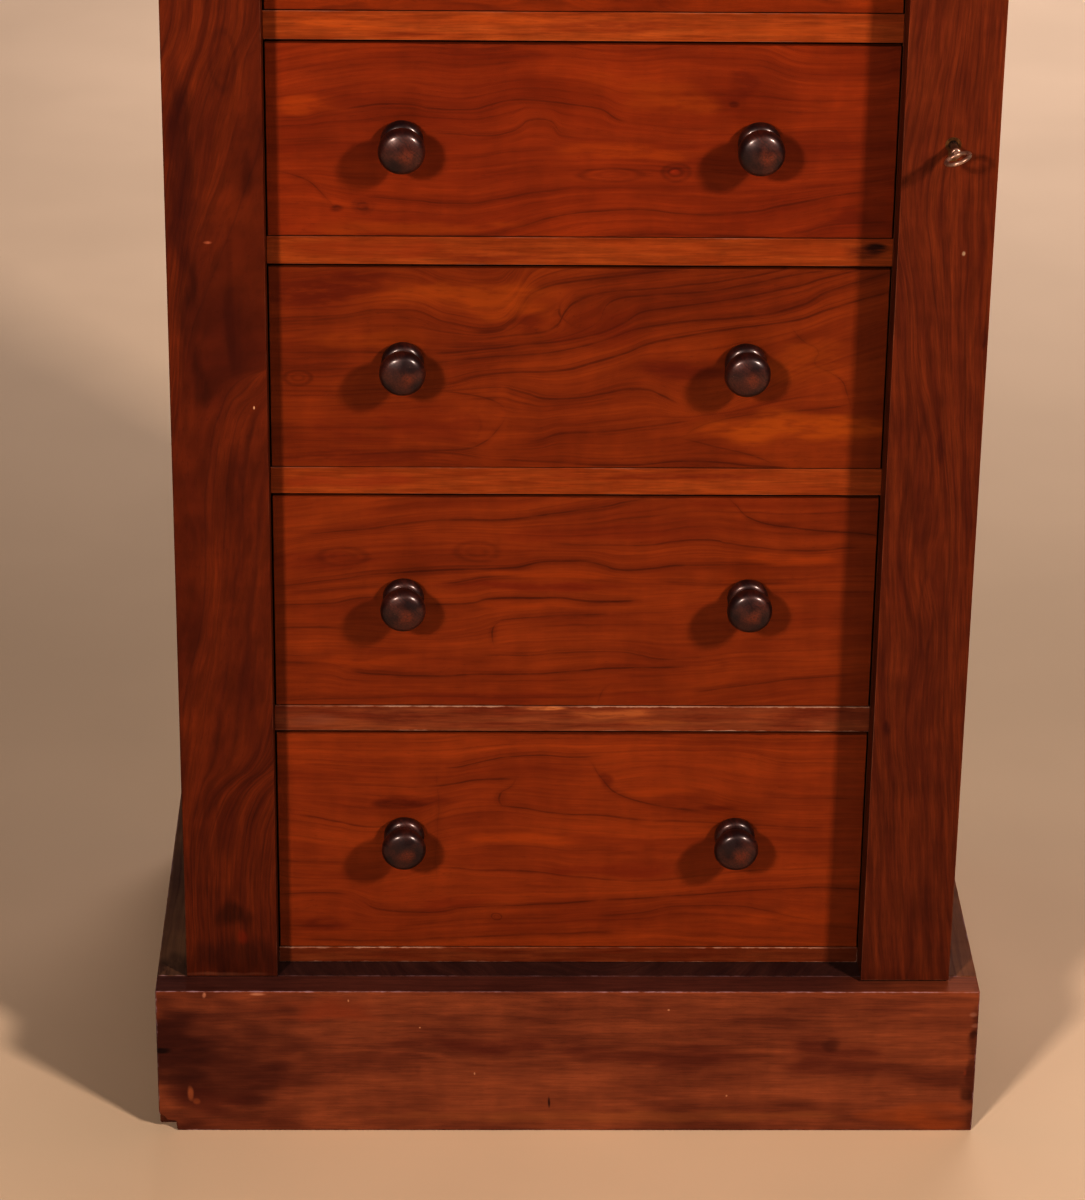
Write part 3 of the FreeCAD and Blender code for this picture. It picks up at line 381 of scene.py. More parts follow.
boardCuts = {
    "drawer_4_front": {
        "sway": 3.0, "ripple": 4.0, "spacing": 3.6, "toneSpan": (0.36, 1.24), "drawn": 0.6,
        "ringShare": 0.36, "tint": (0.97, 0.93, 1.1),
        "marks": [(62, -21, 10, 7, "#441913", 0.6), (61, -21, 5, 3, "#924521", 0.8),
                  (-162, -47, 6, 4, "#421913", 0.6), (-144, -45, 9, 6, "#4a1d14", 0.65),
                  (104, 40, 12, 14, umber, 0.5), (100, 26, 5, 3.5, "#4b1d13", 0.6),
                  (-178, 24, 36, 9, "#a76020", 0.35), (40, -6, 60, 8, "#a45e20", 0.3),
                  (-80, 60, 80, 6, umber, 0.45), (50, 62, 50, 5, umber, 0.35),
                  (-186, -84, 24, 8, "#542315", 0.6), (180, -50, 24, 8, umber, 0.5),
                  (50, 30, 60, 16, honey, 0.35), (-100, -60, 90, 7, honey, 0.35)],
        "flows": [
            ([(-199, 42), (-163, 48), (-118, 53), (-73, 51), (-28, 55), (24, 51), (75, 54), (114, 52),
              (160, 43), (201, 46)],
             [(-183, -41, 0.35, 1.6), (76, 200, 0.3, 1.4)]),
            ([(-199, 15), (-183, 16), (-164, 20), (-144, 23), (-118, 25), (-99, 22), (-81, 21), (-60, 24),
              (-46, 27), (-28, 28), (-8, 26), (11, 22), (30, 13), (64, 10), (103, 9), (142, 11), (202, 13)],
             [(-199, -154, 0.35, 1.2), (-154, 30, 0.8, 1.3), (30, 102, 0.3, 1.2)]),
            ([(-200, -1), (-157, 0), (-118, 3), (-86, 5), (-64, 4), (-50, 6), (-40, 11), (-31, 15),
              (-22, 14), (-13, 6), (12, 3), (64, 1), (116, 0), (203, 2)],
             [(-200, -157, 0.4, 1.4), (-99, -8, 0.75, 1.5), (12, 203, 0.35, 1.2)]),
            ([(-200, -14), (-157, -12), (-92, -12), (-40, -7), (-1, -6), (38, -7), (77, -9), (116, -12),
              (203, -9)],
             [(-92, 77, 0.3, 1.4), (129, 203, 0.4, 1.2)]),
            ([(-200, -32), (-184, -32), (-164, -35), (-145, -38), (-130, -39), (-105, -41), (-86, -43),
              (-56, -40), (-24, -35), (12, -32), (65, -32), (117, -33), (156, -30), (204, -24)],
             [(-141, -4, 0.75, 1.4), (-4, 204, 0.3, 1.2)]),
            ([(-201, -68), (-158, -67), (-119, -67), (-78, -66), (-59, -65), (-45, -61), (-30, -56),
              (-18, -52), (-4, -49), (9, -48), (37, -46), (64, -49), (85, -50), (105, -49), (133, -43),
              (157, -38), (173, -35), (204, -31)],
             [(-200, -78, 0.6, 1.4), (-92, 190, 0.85, 1.5)]),
            ([(-201, -77), (-119, -76), (-53, -74), (-13, -70), (13, -66), (46, -64), (79, -64), (118, -65),
              (145, -62), (164, -57), (205, -54)],
             [(-201, -165, 0.5, 2.4), (6, 125, 0.9, 2.0), (138, 206, 0.7, 1.8)]),
        ],
        "strokes": [
            ([(-200, -21), (-190, -23), (-180, -27), (-171, -35), (-162, -47)], 0.75, 1.3),
            ([(-161, -65), (-151, -59), (-143, -61), (-135, -66)], 0.4, 1.2),
        ],
        "loops": [
            (19, -23, 22, 5, 0.49),
            (62, -21, 10, 7, 0.56),
            (-143, -45, 8, 6, 0.24),
        ],
    },
    "drawer_3_front": {
        "sway": 3.0, "ripple": 4.0, "spacing": 3.2, "toneSpan": (0.34, 1.26), "drawn": 0.66,
        "ringShare": 0.46, "tint": (0.92, 1.0, 1.12),
        "marks": [(-168, 55, 62, 17, umber, 0.7), (-70, 52, 62, 17, "#995c20", 0.5),
                  (135, -41, 80, 15, "#9b5e20", 0.65), (66, -2, 34, 9, umber, 0.6),
                  (-33, 33, 16, 11, umber, 0.5), (12, 30, 40, 16, "#6e301a", 0.3),
                  (-120, -40, 70, 18, "#6b2d19", 0.35), (160, 6, 34, 22, "#995c20", 0.3),
                  (-155, -64, 60, 8, umber, 0.4), (-140, 20, 60, 10, honey, 0.3)],
        "flows": [
            ([(-202, 33), (-158, 36), (-119, 40), (-86, 30), (-59, 27), (-46, 33), (-38, 45), (-29, 55),
              (-13, 61), (13, 65), (46, 69), (79, 73), (119, 76), (206, 85)],
             [(-201, -115, 0.5, 1.6), (-72, -33, 0.8, 3.2), (-43, 73, 0.9, 1.9)]),
            ([(-202, 21), (-159, 23), (-119, 23), (-86, 21), (-52, 23), (-26, 26), (-15, 31), (-9, 41),
              (0, 49), (20, 55), (47, 57), (80, 61), (119, 67), (159, 77), (206, 84)],
             [(-66, -13, 0.6, 1.5), (-23, 14, 0.95, 2.4), (7, 147, 0.85, 1.6)]),
            ([(-202, 16), (-159, 17), (-119, 17), (-86, 15), (-52, 17), (-19, 21), (4, 28), (14, 35),
              (19, 45), (28, 50), (53, 53), (86, 56), (119, 62), (159, 71), (207, 80)],
             [(-92, 14, 0.6, 1.3), (7, 167, 0.85, 1.6)]),
            ([(-202, 11), (-165, 11), (-132, 11), (-99, 11), (-66, 13), (-32, 18), (-6, 21), (14, 26),
              (31, 33), (44, 41), (67, 45), (93, 49), (120, 54), (146, 60), (166, 67), (207, 77)],
             [(-192, -92, 0.5, 1.3), (-99, 187, 0.85, 1.5)]),
            ([(-202, 0), (-159, 1), (-92, 5), (-52, 8), (-12, 13), (14, 20), (41, 29), (80, 35), (120, 39),
              (146, 46), (166, 56), (207, 70)],
             [(-202, -165, 0.4, 2.0), (-99, 27, 0.8, 1.5), (14, 209, 0.9, 1.6)]),
            ([(-202, -17), (-152, -17), (-92, -12), (-65, -6), (-39, -3), (-12, -1), (8, 4), (28, 10),
              (48, 19), (74, 24), (101, 29), (140, 35), (167, 44), (208, 56)],
             [(-92, -12, 0.7, 1.4), (-26, 210, 0.85, 1.5)]),
            ([(-202, -23), (-152, -21), (-92, -16), (-65, -14), (-51, -14), (-42, -16), (-33, -18),
              (-16, -22), (1, -21), (18, -17), (40, -14), (56, -19), (68, -25), (82, -28), (109, -19),
              (135, -4), (161, 10), (209, 29)],
             [(-99, -45, 0.45, 1.3), (-52, 68, 0.85, 1.6)]),
            ([(-203, -52), (-159, -51), (-106, -52), (-52, -54), (-30, -53), (-10, -47), (21, -45),
              (46, -41), (68, -38), (96, -33), (136, -30), (212, -25)],
             [(-32, 15, 0.7, 1.8), (9, 76, 0.65, 1.5)]),
            ([(-203, -65), (-153, -63), (-119, -61), (-85, -62), (-52, -66), (-11, -68), (29, -70),
              (83, -67), (137, -71), (214, -70)],
             [(-203, -159, 0.5, 2.0), (-159, -65, 0.6, 1.4), (-52, 16, 0.6, 1.6), (2, 144, 0.9, 1.5)]),
        ],
        "strokes": [
            ([(-92, -16), (-75, -18), (-62, -21), (-52, -25), (-47, -31)], 0.7, 1.3),
            ([(-119, -61), (-92, -60), (-75, -58), (-62, -52), (-52, -41), (-47, -32)], 0.7, 1.5),
            ([(71, -49), (82, -41), (96, -36), (116, -32), (149, -30), (183, -24)], 0.6, 1.2),
            ([(69, -49), (83, -53), (103, -58), (117, -62), (134, -70)], 0.6, 1.2),
        ],
        "turned": [
            ([(-25, 183), (-16, 180), (-9, 177), (-1, 167), (6, 158), (13, 160), (20, 151), (31, 142)], 0.6,
             1.3),
            ([(30, -3), (34, -9), (41, -13), (49, -11)], 0.9, 2.2),
            ([(-47, -67), (-41, -65), (-34, -68)], 0.55, 3.0),
        ],
        "loops": [
            (-187, -7, 10, 6, 0.5),
        ],
    },
    "drawer_2_front": {
        "sway": 3.0, "ripple": 4.0, "spacing": 3.4, "toneSpan": (0.26, 1.34), "drawn": 0.85,
        "ringShare": 0.4, "tint": (1.0, 1.11, 1.3),
        "marks": [(-30, 12, 66, 5, chestnut, 0.5), (-20, 21, 60, 4.5, amber, 0.22),
                  (-40, 0, 70, 5, amber, 0.25), (105, 78, 60, 12, "#6b2c17", 0.3),
                  (-150, -46, 50, 10, amber, 0.3), (-172, 30, 40, 8, chestnut, 0.25),
                  (40, 52, 110, 8, chestnut, 0.25), (150, 34, 50, 6, amber, 0.35),
                  (-60, -74, 120, 7, "#6b2d19", 0.35)],
        "flows": [
            ([(-204, 49), (-186, 51), (-167, 53), (-144, 55), (-119, 59), (-101, 61), (-79, 62), (-59, 62),
              (-38, 63), (-16, 66), (3, 69), (20, 72), (35, 76), (57, 79), (97, 82), (215, 85)],
             [(-186, -79, 0.55, 1.3), (-92, -11, 0.8, 1.7), (-24, 50, 0.7, 1.5)]),
            ([(-204, 37), (-160, 46), (-119, 49), (-85, 49), (-51, 48), (-16, 45), (17, 43), (37, 43),
              (69, 47), (86, 48), (103, 45), (126, 42), (155, 40), (187, 42), (217, 43)],
             [(-17, 44, 0.45, 1.3), (30, 194, 0.65, 1.4)]),
            ([(-205, 12), (-188, 14), (-164, 17), (-140, 20), (-119, 22), (-92, 24), (-67, 25), (-39, 27),
              (-16, 31), (3, 31), (20, 28), (36, 25), (51, 26), (70, 28), (99, 29), (133, 30), (217, 33)],
             [(-204, -119, 0.5, 1.4), (-133, 79, 0.8, 1.6), (72, 140, 0.5, 1.3)]),
            ([(-205, 6), (-167, 9), (-130, 12), (-92, 14), (-51, 19), (-10, 21), (31, 17), (72, 15),
              (113, 14), (154, 16), (218, 18)],
             [(-194, -126, 0.45, 1.4), (-92, -37, 0.6, 1.4), (58, 154, 0.45, 1.4)]),
            ([(-205, -3), (-167, -1), (-130, 4), (-106, 0), (-89, -1), (-71, 0), (-58, 3), (-37, 4),
              (-17, 4), (4, 2), (24, 1), (45, 2), (72, 5), (100, 8), (127, 8), (218, 10)],
             [(-205, -130, 0.5, 1.4), (-102, 45, 0.9, 1.6), (100, 218, 0.5, 1.4)]),
            ([(-205, -20), (-167, -19), (-119, -22), (-92, -23), (-71, -20), (-58, -16), (-41, -12),
              (-15, -10), (18, -9), (59, -7), (100, -5), (219, 0)],
             [(-205, -154, 0.6, 1.4), (-59, 25, 0.6, 1.3), (25, 86, 0.3, 1.3)]),
            ([(-205, -40), (-175, -41), (-120, -40), (-71, -40), (-40, -40), (-9, -38), (18, -37), (46, -40),
              (73, -43), (108, -40), (220, -35)],
             [(-205, -161, 0.4, 1.3), (-64, 73, 0.55, 1.2)]),
            ([(-206, -46), (-175, -47), (-154, -53), (-120, -56), (-85, -56), (-44, -55), (-1, -53),
              (32, -50), (60, -49), (87, -49), (115, -45), (156, -45), (221, -43)],
             [(-206, -154, 0.5, 1.6), (-154, 81, 0.75, 1.4)]),
            ([(-206, -75), (-154, -73), (-85, -72), (-16, -73), (53, -70), (88, -67), (129, -62), (164, -57),
              (221, -54)],
             [(-206, 19, 0.4, 1.8), (81, 192, 0.5, 1.4)]),
        ],
        "strokes": [
            ([(103, 79), (109, 73), (116, 65), (129, 60), (146, 57), (173, 54), (214, 51)], 0.75, 1.3),
        ],
        "turned": [
            ([(-33, -54), (-26, -56), (-19, -55), (-14, -50), (-11, -43)], 0.7, 1.2),
            ([(-78, 18), (-68, 20), (-61, 26)], 0.45, 1.0),
        ],
        "loops": [
            (-158, 34, 18, 7, 0.29),
            (-67, 38, 16, 8, 0.27),
            (80, -47, 28, 6, 0.16),
        ],
    },
    "drawer_1_front": {
        "sway": 3.0, "ripple": 4.0, "spacing": 4.0, "toneSpan": (0.3, 1.3), "drawn": 0.75, "ringShare": 0.36,
        "tint": (1.09, 1.21, 1.45),
        "marks": [(-119, 30, 24, 5, "#522315", 0.6), (-108, 33, 30, 5, umber, 0.4),
                  (103, 27, 18, 3, umber, 0.55), (23, 49, 8, 10, umber, 0.5), (-40, 2, 60, 6, amber, 0.4),
                  (60, 40, 30, 8, amber, 0.3), (-90, -50, 60, 12, "#712d18", 0.3),
                  (40, -22, 70, 8, "#6e2d18", 0.4), (-176, -68, 34, 9, umber, 0.5),
                  (160, -60, 60, 9, amber, 0.3)],
        "flows": [
            ([(-207, 80), (-120, 78), (-50, 82), (19, 82), (89, 80), (159, 79), (224, 81)],
             [(-189, 19, 0.3, 1.6), (89, 201, 0.3, 1.6)]),
            ([(-207, 62), (-162, 60), (-120, 58), (-92, 58), (-71, 61), (-55, 65), (-43, 67), (-20, 68),
              (4, 67), (20, 67), (47, 69), (89, 71), (159, 63), (225, 62)],
             [(-189, -85, 0.35, 1.3), (-92, 20, 0.75, 1.5), (131, 224, 0.4, 1.6)]),
            ([(-207, 45), (-162, 45), (-120, 43), (-92, 44), (-66, 48), (-50, 49), (-37, 49), (-8, 47),
              (20, 46), (48, 49), (90, 46), (132, 36), (226, 34)],
             [(-162, -99, 0.4, 1.3), (-102, -39, 0.75, 1.5), (132, 216, 0.4, 1.3)]),
            ([(-207, 23), (-183, 20), (-162, 15), (-130, 11), (-92, 23), (-57, 28), (-41, 27), (-13, 23),
              (20, 21), (49, 18), (91, 16), (133, 13), (161, 11), (227, 13)],
             [(-190, -130, 0.5, 1.5), (-50, 56, 0.65, 1.4), (56, 182, 0.4, 1.3)]),
            ([(-208, -14), (-162, -17), (-120, -13), (-78, -7), (-36, -4), (7, -7), (49, -8), (91, -7),
              (134, -3), (228, -2)],
             [(-208, -155, 0.5, 1.4), (-78, 35, 0.3, 1.4)]),
            ([(-208, -25), (-162, -30), (-120, -28), (-92, -21), (-64, -23), (-28, -24), (7, -29), (50, -31),
              (92, -27), (134, -23), (228, -19)],
             [(-92, 35, 0.45, 1.4), (35, 134, 0.35, 1.3)]),
            ([(-208, -43), (-184, -42), (-166, -42), (-148, -48), (-131, -55), (-101, -57), (-78, -54),
              (-54, -52), (-12, -50), (22, -47), (64, -45), (107, -41), (142, -38), (177, -37), (229, -39)],
             [(-209, -154, 0.6, 1.4), (-148, 22, 0.75, 1.5), (22, 213, 0.7, 1.4)]),
            ([(-209, -68), (-120, -68), (-70, -63), (-35, -62), (8, -60), (50, -57), (78, -52), (107, -51),
              (135, -54), (164, -61), (200, -65), (231, -68)],
             [(-209, -163, 0.5, 2.4), (-120, -7, 0.4, 1.6), (22, 178, 0.55, 1.4)]),
            ([(-209, -77), (-134, -80), (-92, -78), (-49, -76), (-6, -75), (36, -73), (93, -75), (150, -78),
              (231, -79)],
             [(-191, -78, 0.5, 2.0), (-92, 36, 0.6, 1.8), (79, 150, 0.3, 1.5)]),
        ],
        "strokes": [
            ([(11, 66), (15, 61), (20, 51), (26, 43), (33, 38), (53, 30), (91, 24)], 0.7, 1.6),
        ],
        "turned": [
            ([(26, -41), (31, -50), (38, -49), (44, -42), (50, -38)], 0.75, 1.6),
            ([(-31, -95), (1, -94), (33, -93), (58, -95)], 0.25, 1.0),
        ],
        "loops": [
            (-51, -61, 4, 3, 0.6),
        ],
    },
    "drawer_5_front": {"across": -100, "depth": 230,
                       "swells": [(40, 10, 90, 26, 6.0), (-120, -20, 60, 20, -5.0)]},
    "drawer_6_front": {"across": -120, "depth": 240,
                       "swells": [(-60, 0, 80, 22, 5.5), (110, 20, 60, 20, -4.0)]},
    "drawer_7_front": {"across": -105, "depth": 235,
                       "swells": [(80, -6, 70, 20, 5.0), (-140, 10, 60, 18, 4.0)]},
    "drawer_rails": {
        "across": -60, "depth": 120, "sway": 8, "ripple": 2.0, "spacing": 3.0, "cloud": (46, 5, 20),
        "streaks": 0.13, "broken": (12, 1.8, 4), "ringShare": 0.6,
    },
    "rail_1": {"tint": (1.08, 1.2, 1.5),
               "marks": [(36, 3, 34, 5, "#a8744a", 0.6), (-16, 8, 24, 2.2, "#c09064", 0.75),
                         (58, -3, 26, 2.6, "#9a683f", 0.5), (-186, 0, 24, 9, "#7d5546", 0.5),
                         (-128, 0, 46, 8, "#5c2a1c", 0.4), (134, 4, 30, 3, "#96603c", 0.45),
                         (-70, -5, 60, 4, "#6a3320", 0.35)]},
    "rail_2": {"marks": [(-150, 0, 60, 6, "#8a4426", 0.4), (60, 4, 90, 3, "#6a2c1a", 0.4),
                         (150, -4, 50, 4, "#8e5028", 0.4)]},
    "rail_3": {"marks": [(-150, 0, 70, 9, "#874521", 0.5), (160, 2, 40, 6, "#894b21", 0.5),
                         (198, 3, 12, 5.5, "#2a1615", 0.95), (190, 1, 22, 7, "#4a221a", 0.5),
                         (-60, -4, 60, 4, "#6a2c1a", 0.35), (40, 3, 50, 4, "#9c5a2c", 0.35)]},
    "rail_4": {"tint": (1.09, 1.12, 1.2),
               "marks": [(-150, 2, 44, 6, "#a8642c", 0.45), (-50, 4, 60, 4, "#a8642c", 0.4),
                         (30, 0, 60, 5, "#6e3018", 0.4), (130, -2, 60, 6, "#a0602a", 0.35),
                         (-110, -6, 60, 3, "#6e3018", 0.4)]},
    "bottom_rail": {"across": -60, "depth": 120, "sway": 8, "ripple": 2.0, "cloud": (46, 5, 20),
                    "streaks": 0.1},
    "top_rail": {"across": -60, "depth": 120, "sway": 8, "ripple": 2.0},
    "pilaster_left": {
        # the foot of this board is darkened, a painted shade
        "axes": "ZXY", "sway": 3.0, "ripple": 3.5, "cloud": (60, 7, 40), "paintedFootShade": 0.86, "ringShare": 0.7,
        "streaks": 0.12, "tint": (1.02, 0.97, 1.08), "evenness": 0.6,
        "marks": [(103, -18, 40, 9, nearBlack, 0.5), (-32, -18, 46, 9, nearBlack, 0.55),
                  (-86, -11, 30, 8, nearBlack, 0.5), (60, 20, 26, 5, "#3d1a12", 0.35),
                  (-27, 9, 60, 4, "#3d1a12", 0.35), (13, -5, 1.4, 4.5, "#a8745c", 0.6),
                  (-103, 23, 1.8, 0.9, "#c9b39a", 0.8), (-48, 11, 40, 7, "#4b2217", 0.35),
                  (-156, -4, 38, 9, "#4e2417", 0.3), (-421, 1, 50, 10, "#4e2417", 0.4),
                  (60, -22, 120, 9, "#441e17", 0.6), (-330, 16, 70, 12, "#4b2217", 0.35),
                  (-537, -8, 2.2, 40, "#8f6c56", 0.4), (-528, 0, 24, 70, "#3c1e15", 0.5),
                  (-490, 0, 14, 17, "#34190f", 0.6), (-508, 9, 9, 4, "#7a3319", 0.5)],
        "flows": [
            ([(-546, -22), (-513, -22), (-477, -23), (-437, -20), (-401, -11), (-383, 1), (-372, 13),
              (-351, 22), (-305, 29), (-244, 33), (-185, 42), (-97, 54), (8, 65), (111, 71), (216, 77)],
             [(-546, -355, 0.6, 1.6)]),
            ([(-546, -30), (-477, -28), (-437, -29), (-397, -25), (-351, -18), (-316, -13), (-278, -6),
              (-237, -1), (-192, 2), (-148, 6), (-116, 12), (-101, 18), (-93, 29), (-80, 38), (-27, 48),
              (43, 57), (111, 63), (216, 68)],
             [(-214, -87, 0.6, 1.5), (-397, -200, 0.4, 1.4)]),
            ([(-546, -46), (-477, -41), (-397, -35), (-335, -30), (-291, -22), (-259, -15), (-216, -11),
              (-170, -10), (-134, -6), (-106, 1), (-88, 10), (-79, 21), (-73, 34), (-27, 44), (43, 50),
              (124, 57), (216, 62)],
             [(-335, -73, 0.7, 1.6), (-445, -335, 0.4, 1.8)]),
            ([(-546, -51), (-398, -43), (-244, -36), (-170, -32), (-112, -26), (-62, -19), (-27, -9), (0, 2),
              (29, 13), (56, 22), (81, 30), (114, 41), (150, 49), (216, 55)],
             [(-69, 110, 0.55, 1.6)]),
            ([(-546, -58), (-320, -45), (-170, -36), (-98, -28), (-27, -21), (8, -13), (32, -5), (56, 4),
              (83, 12), (110, 18), (136, 22), (150, 28), (164, 33), (216, 39)],
             [(104, 164, 0.5, 1.5), (1, 104, 0.5, 2.2)]),
            ([(-546, -65), (-320, -52), (-170, -41), (-62, -31), (-6, -25), (29, -19), (63, -14), (90, -9),
              (110, -4), (130, 2), (150, 10), (170, 14), (216, 18)],
             [(90, 164, 0.6, 2.0), (8, 104, 0.5, 2.4)]),
        ],
        "loops": [(137, 7, 22, 9, 0.6), (-437, -12, 52, 6, 0.35), (-185, 10, 45, 5, 0.3)],
    },
    "flap": {
        # the foot of this board is darkened, a painted shade
        "axes": "ZXY", "sway": 3.0, "ripple": 3.5, "cloud": (60, 6, 40), "paintedFootShade": 0.8, "ringShare": 0.6,
        "streaks": 0.14,
        "marks": [(-47, 29, 9, 3, "#3c1b1a", 0.7), (10, 12, 2.2, 1.6, "#ada390", 0.8),
                  (-330, 0, 60, 14, "#51271b", 0.3), (-336, -22, 9, 4, "#411d1a", 0.6),
                  (-130, 4, 14, 5, "#451e1a", 0.45)],
        "flows": [
            ([(-545, 54), (-513, 47), (-480, 41), (-448, 37), (-393, 35), (-315, 31), (-210, 26), (-129, 21),
              (-57, 17), (13, 15), (81, 13), (142, 14), (221, 14)],
             [(-165, 13, 0.3, 1.6), (-545, -362, 0.6, 1.6)]),
            ([(-545, 40), (-488, 32), (-440, 27), (-377, 22), (-315, 16), (-258, 14), (-211, 14), (-174, 12),
              (-120, 6), (-57, 0), (-22, -5), (13, -10), (47, -13), (73, -11), (98, -9), (122, -7),
              (155, -3), (221, -2)],
             [(-270, 122, 0.6, 1.4), (-545, -270, 0.4, 1.5)]),
            ([(-545, 24), (-472, 18), (-393, 12), (-315, 7), (-277, 9), (-240, 5), (-210, 1), (-180, 5),
              (-144, 3), (-107, -4), (-65, -13), (-22, -18), (20, -25), (61, -28), (95, -25), (128, -20),
              (162, -18), (221, -17)],
             [(-43, 155, 0.5, 1.5), (-472, -210, 0.4, 1.4)]),
            ([(-545, 9), (-472, 3), (-393, -2), (-331, -8), (-285, -7), (-247, -11), (-210, -16),
              (-166, -16), (-122, -17), (-65, -21), (-22, -25), (19, -33), (56, -38), (95, -38), (128, -35),
              (162, -33), (220, -32)],
             [(-8, 162, 0.45, 1.5), (-331, -79, 0.5, 1.4)]),
            ([(-545, -4), (-456, -10), (-393, -14), (-331, -20), (-270, -22), (-195, -27), (-122, -30),
              (-50, -35), (6, -43), (61, -46), (115, -45), (161, -43), (220, -42)],
             [(-210, 47, 0.35, 1.5), (-545, -315, 0.4, 1.4)]),
        ],
        "loops": [(-152, -7, 52, 6, 0.55), (-251, 1, 34, 5, 0.6), (44, 0, 34, 5, 0.35)],
    },
    "plinth_front": {
        "across": -60, "depth": 140, "sway": 16, "ripple": 7.0, "cloud": (86, 24, 40), "spacing": 4.6,
        # the top of the plinth front is darkened, dust and painted shade
        "ringShare": 0.32, "streaks": 0.1, "evenness": 0.8, "topDirtAndPaintedLightAbove": 56.7, "topDirtAndPaintedLight": (0.6, 0.64, 0.95),
        "tint": (1.05, 1.06, 1.2),
        "swells": [(-60, 8, 90, 18, 5.0), (150, -6, 80, 20, -5.0), (-190, -10, 60, 20, 4.0)],
        "marks": [(-246, 2, 70, 60, "#43201b", 0.55), (-280, 0, 34, 90, "#3a1a16", 0.6),
                  (-287, 9, 9, 3, "#1c0e0d", 0.9), (-262, -34, 40, 16, "#55291f", 0.5),
                  (-62, 14, 78, 9, "#55251d", 0.5), (66, 4, 90, 12, "#53251d", 0.45),
                  (186, 4, 46, 20, "#53251d", 0.5), (-268, -27, 3, 8, "#a9744e", 0.5),
                  (-264, -33, 4, 4, "#a16a43", 0.4), (40, -46, 200, 8, "#966840", 0.35),
                  (250, -44, 44, 13, "#a8652f", 0.4), (-168, 42, 60, 12, "#965330", 0.35),
                  (-13, -34, 1.3, 8, "#2c1413", 0.8), (190, 14, 9, 8, "#401d18", 0.5),
                  (-105, 28, 1.0, 1.0, dust, 0.6), (71, 43, 1.2, 1.2, dust, 0.6),
                  (-66, -10, 0.9, 1.7, dust, 0.6), (114, -28, 1.0, 1.2, dust, 0.6),
                  (-155, 50, 0.9, 1.4, dust, 0.6), (-219, 55.6, 7, 1.6, "#b58f78", 0.6),
                  (-257, 54, 1.8, 3.0, "#b58f78", 0.6), (289, 0, 6, 70, "#3f1d16", 0.5),
                  (288, 22, 4, 5, "#2c1512", 0.6), (284, -26, 6, 9, "#331913", 0.5),
                  (287, 39, 4, 3, "#9a7767", 0.55), (288, 30, 4, 2.5, "#94705f", 0.5),
                  (287, 4, 2.5, 2.5, "#8c5a3f", 0.45), (284, -9, 1.5, 3.5, "#8a4c30", 0.4)],
    },
    # the side boards' tops are tinted lighter and greyer below, a painted reflection
    "plinth_sides": {"axes": "YZX", "across": -60, "depth": 140, "sway": 14, "ripple": 4.0,
                     "tint": (1.05, 1.06, 1.2), "topDirtAndPaintedLightAbove": 56.7},
    # the left side's mark darkens the front end of its top, a painted shade
    "plinth_left": {"topDirtAndPaintedLight": (1.19, 1.98, 2.5), "marks": [(-205, 60, 34, 12, "#3a241d", 0.85)]},
    "plinth_right": {"topDirtAndPaintedLight": (0.95, 1.23, 1.25)},
    "plinth_back": {"across": -60, "depth": 120},
    "plinth_blocks": {"axes": "ZXY", "across": 20, "depth": 60},
    "side_left": {
        "axes": "ZYX", "across": 10, "depth": -90, "lean": -0.07, "sway": 34, "ripple": 5.0, "spacing": 5.0,
        "cloud": (300, 60, 60),
    },
    "side_right": {
        "axes": "ZYX", "across": -30, "depth": 95, "lean": -0.08, "sway": 34, "ripple": 5.0, "spacing": 5.0,
        "cloud": (300, 60, 60),
    },
    "stile_left": {"axes": "ZXY", "across": -40, "depth": 90},
    "stile_right": {"axes": "ZXY", "across": -40, "depth": 90},
    "frieze": {"across": -60, "depth": 130, "sway": 12},
    "top_board": {"axes": "XYZ", "across": 20, "depth": -110, "lean": 0.1, "sway": 34, "ripple": 5.0,
                  "spacing": 5.0, "cloud": (260, 60, 60)},
    "top_moulding": {"across": -60, "depth": 130},
    "sub_top": {"axes": "XYZ", "across": 10, "depth": -80, "lean": 0.06, "sway": 24},
    "carcass_bottom": {"axes": "XYZ", "across": -20, "depth": -70, "lean": 0.06, "sway": 24},
    "back_boards": {"axes": "ZXY", "across": 10, "depth": 70, "lean": 0.05, "sway": 18, "spacing": 4.5},
    "drawer_bottoms": {"axes": "XYZ", "across": 10, "depth": -80, "lean": 0.06, "sway": 24, "spacing": 4.5},
    "drawer_boxes": {"axes": "YZX", "across": -50, "depth": 90, "spacing": 4.0},
    "small_blocks": {"axes": "YXZ", "across": -30, "depth": 60, "spacing": 3.5},
}


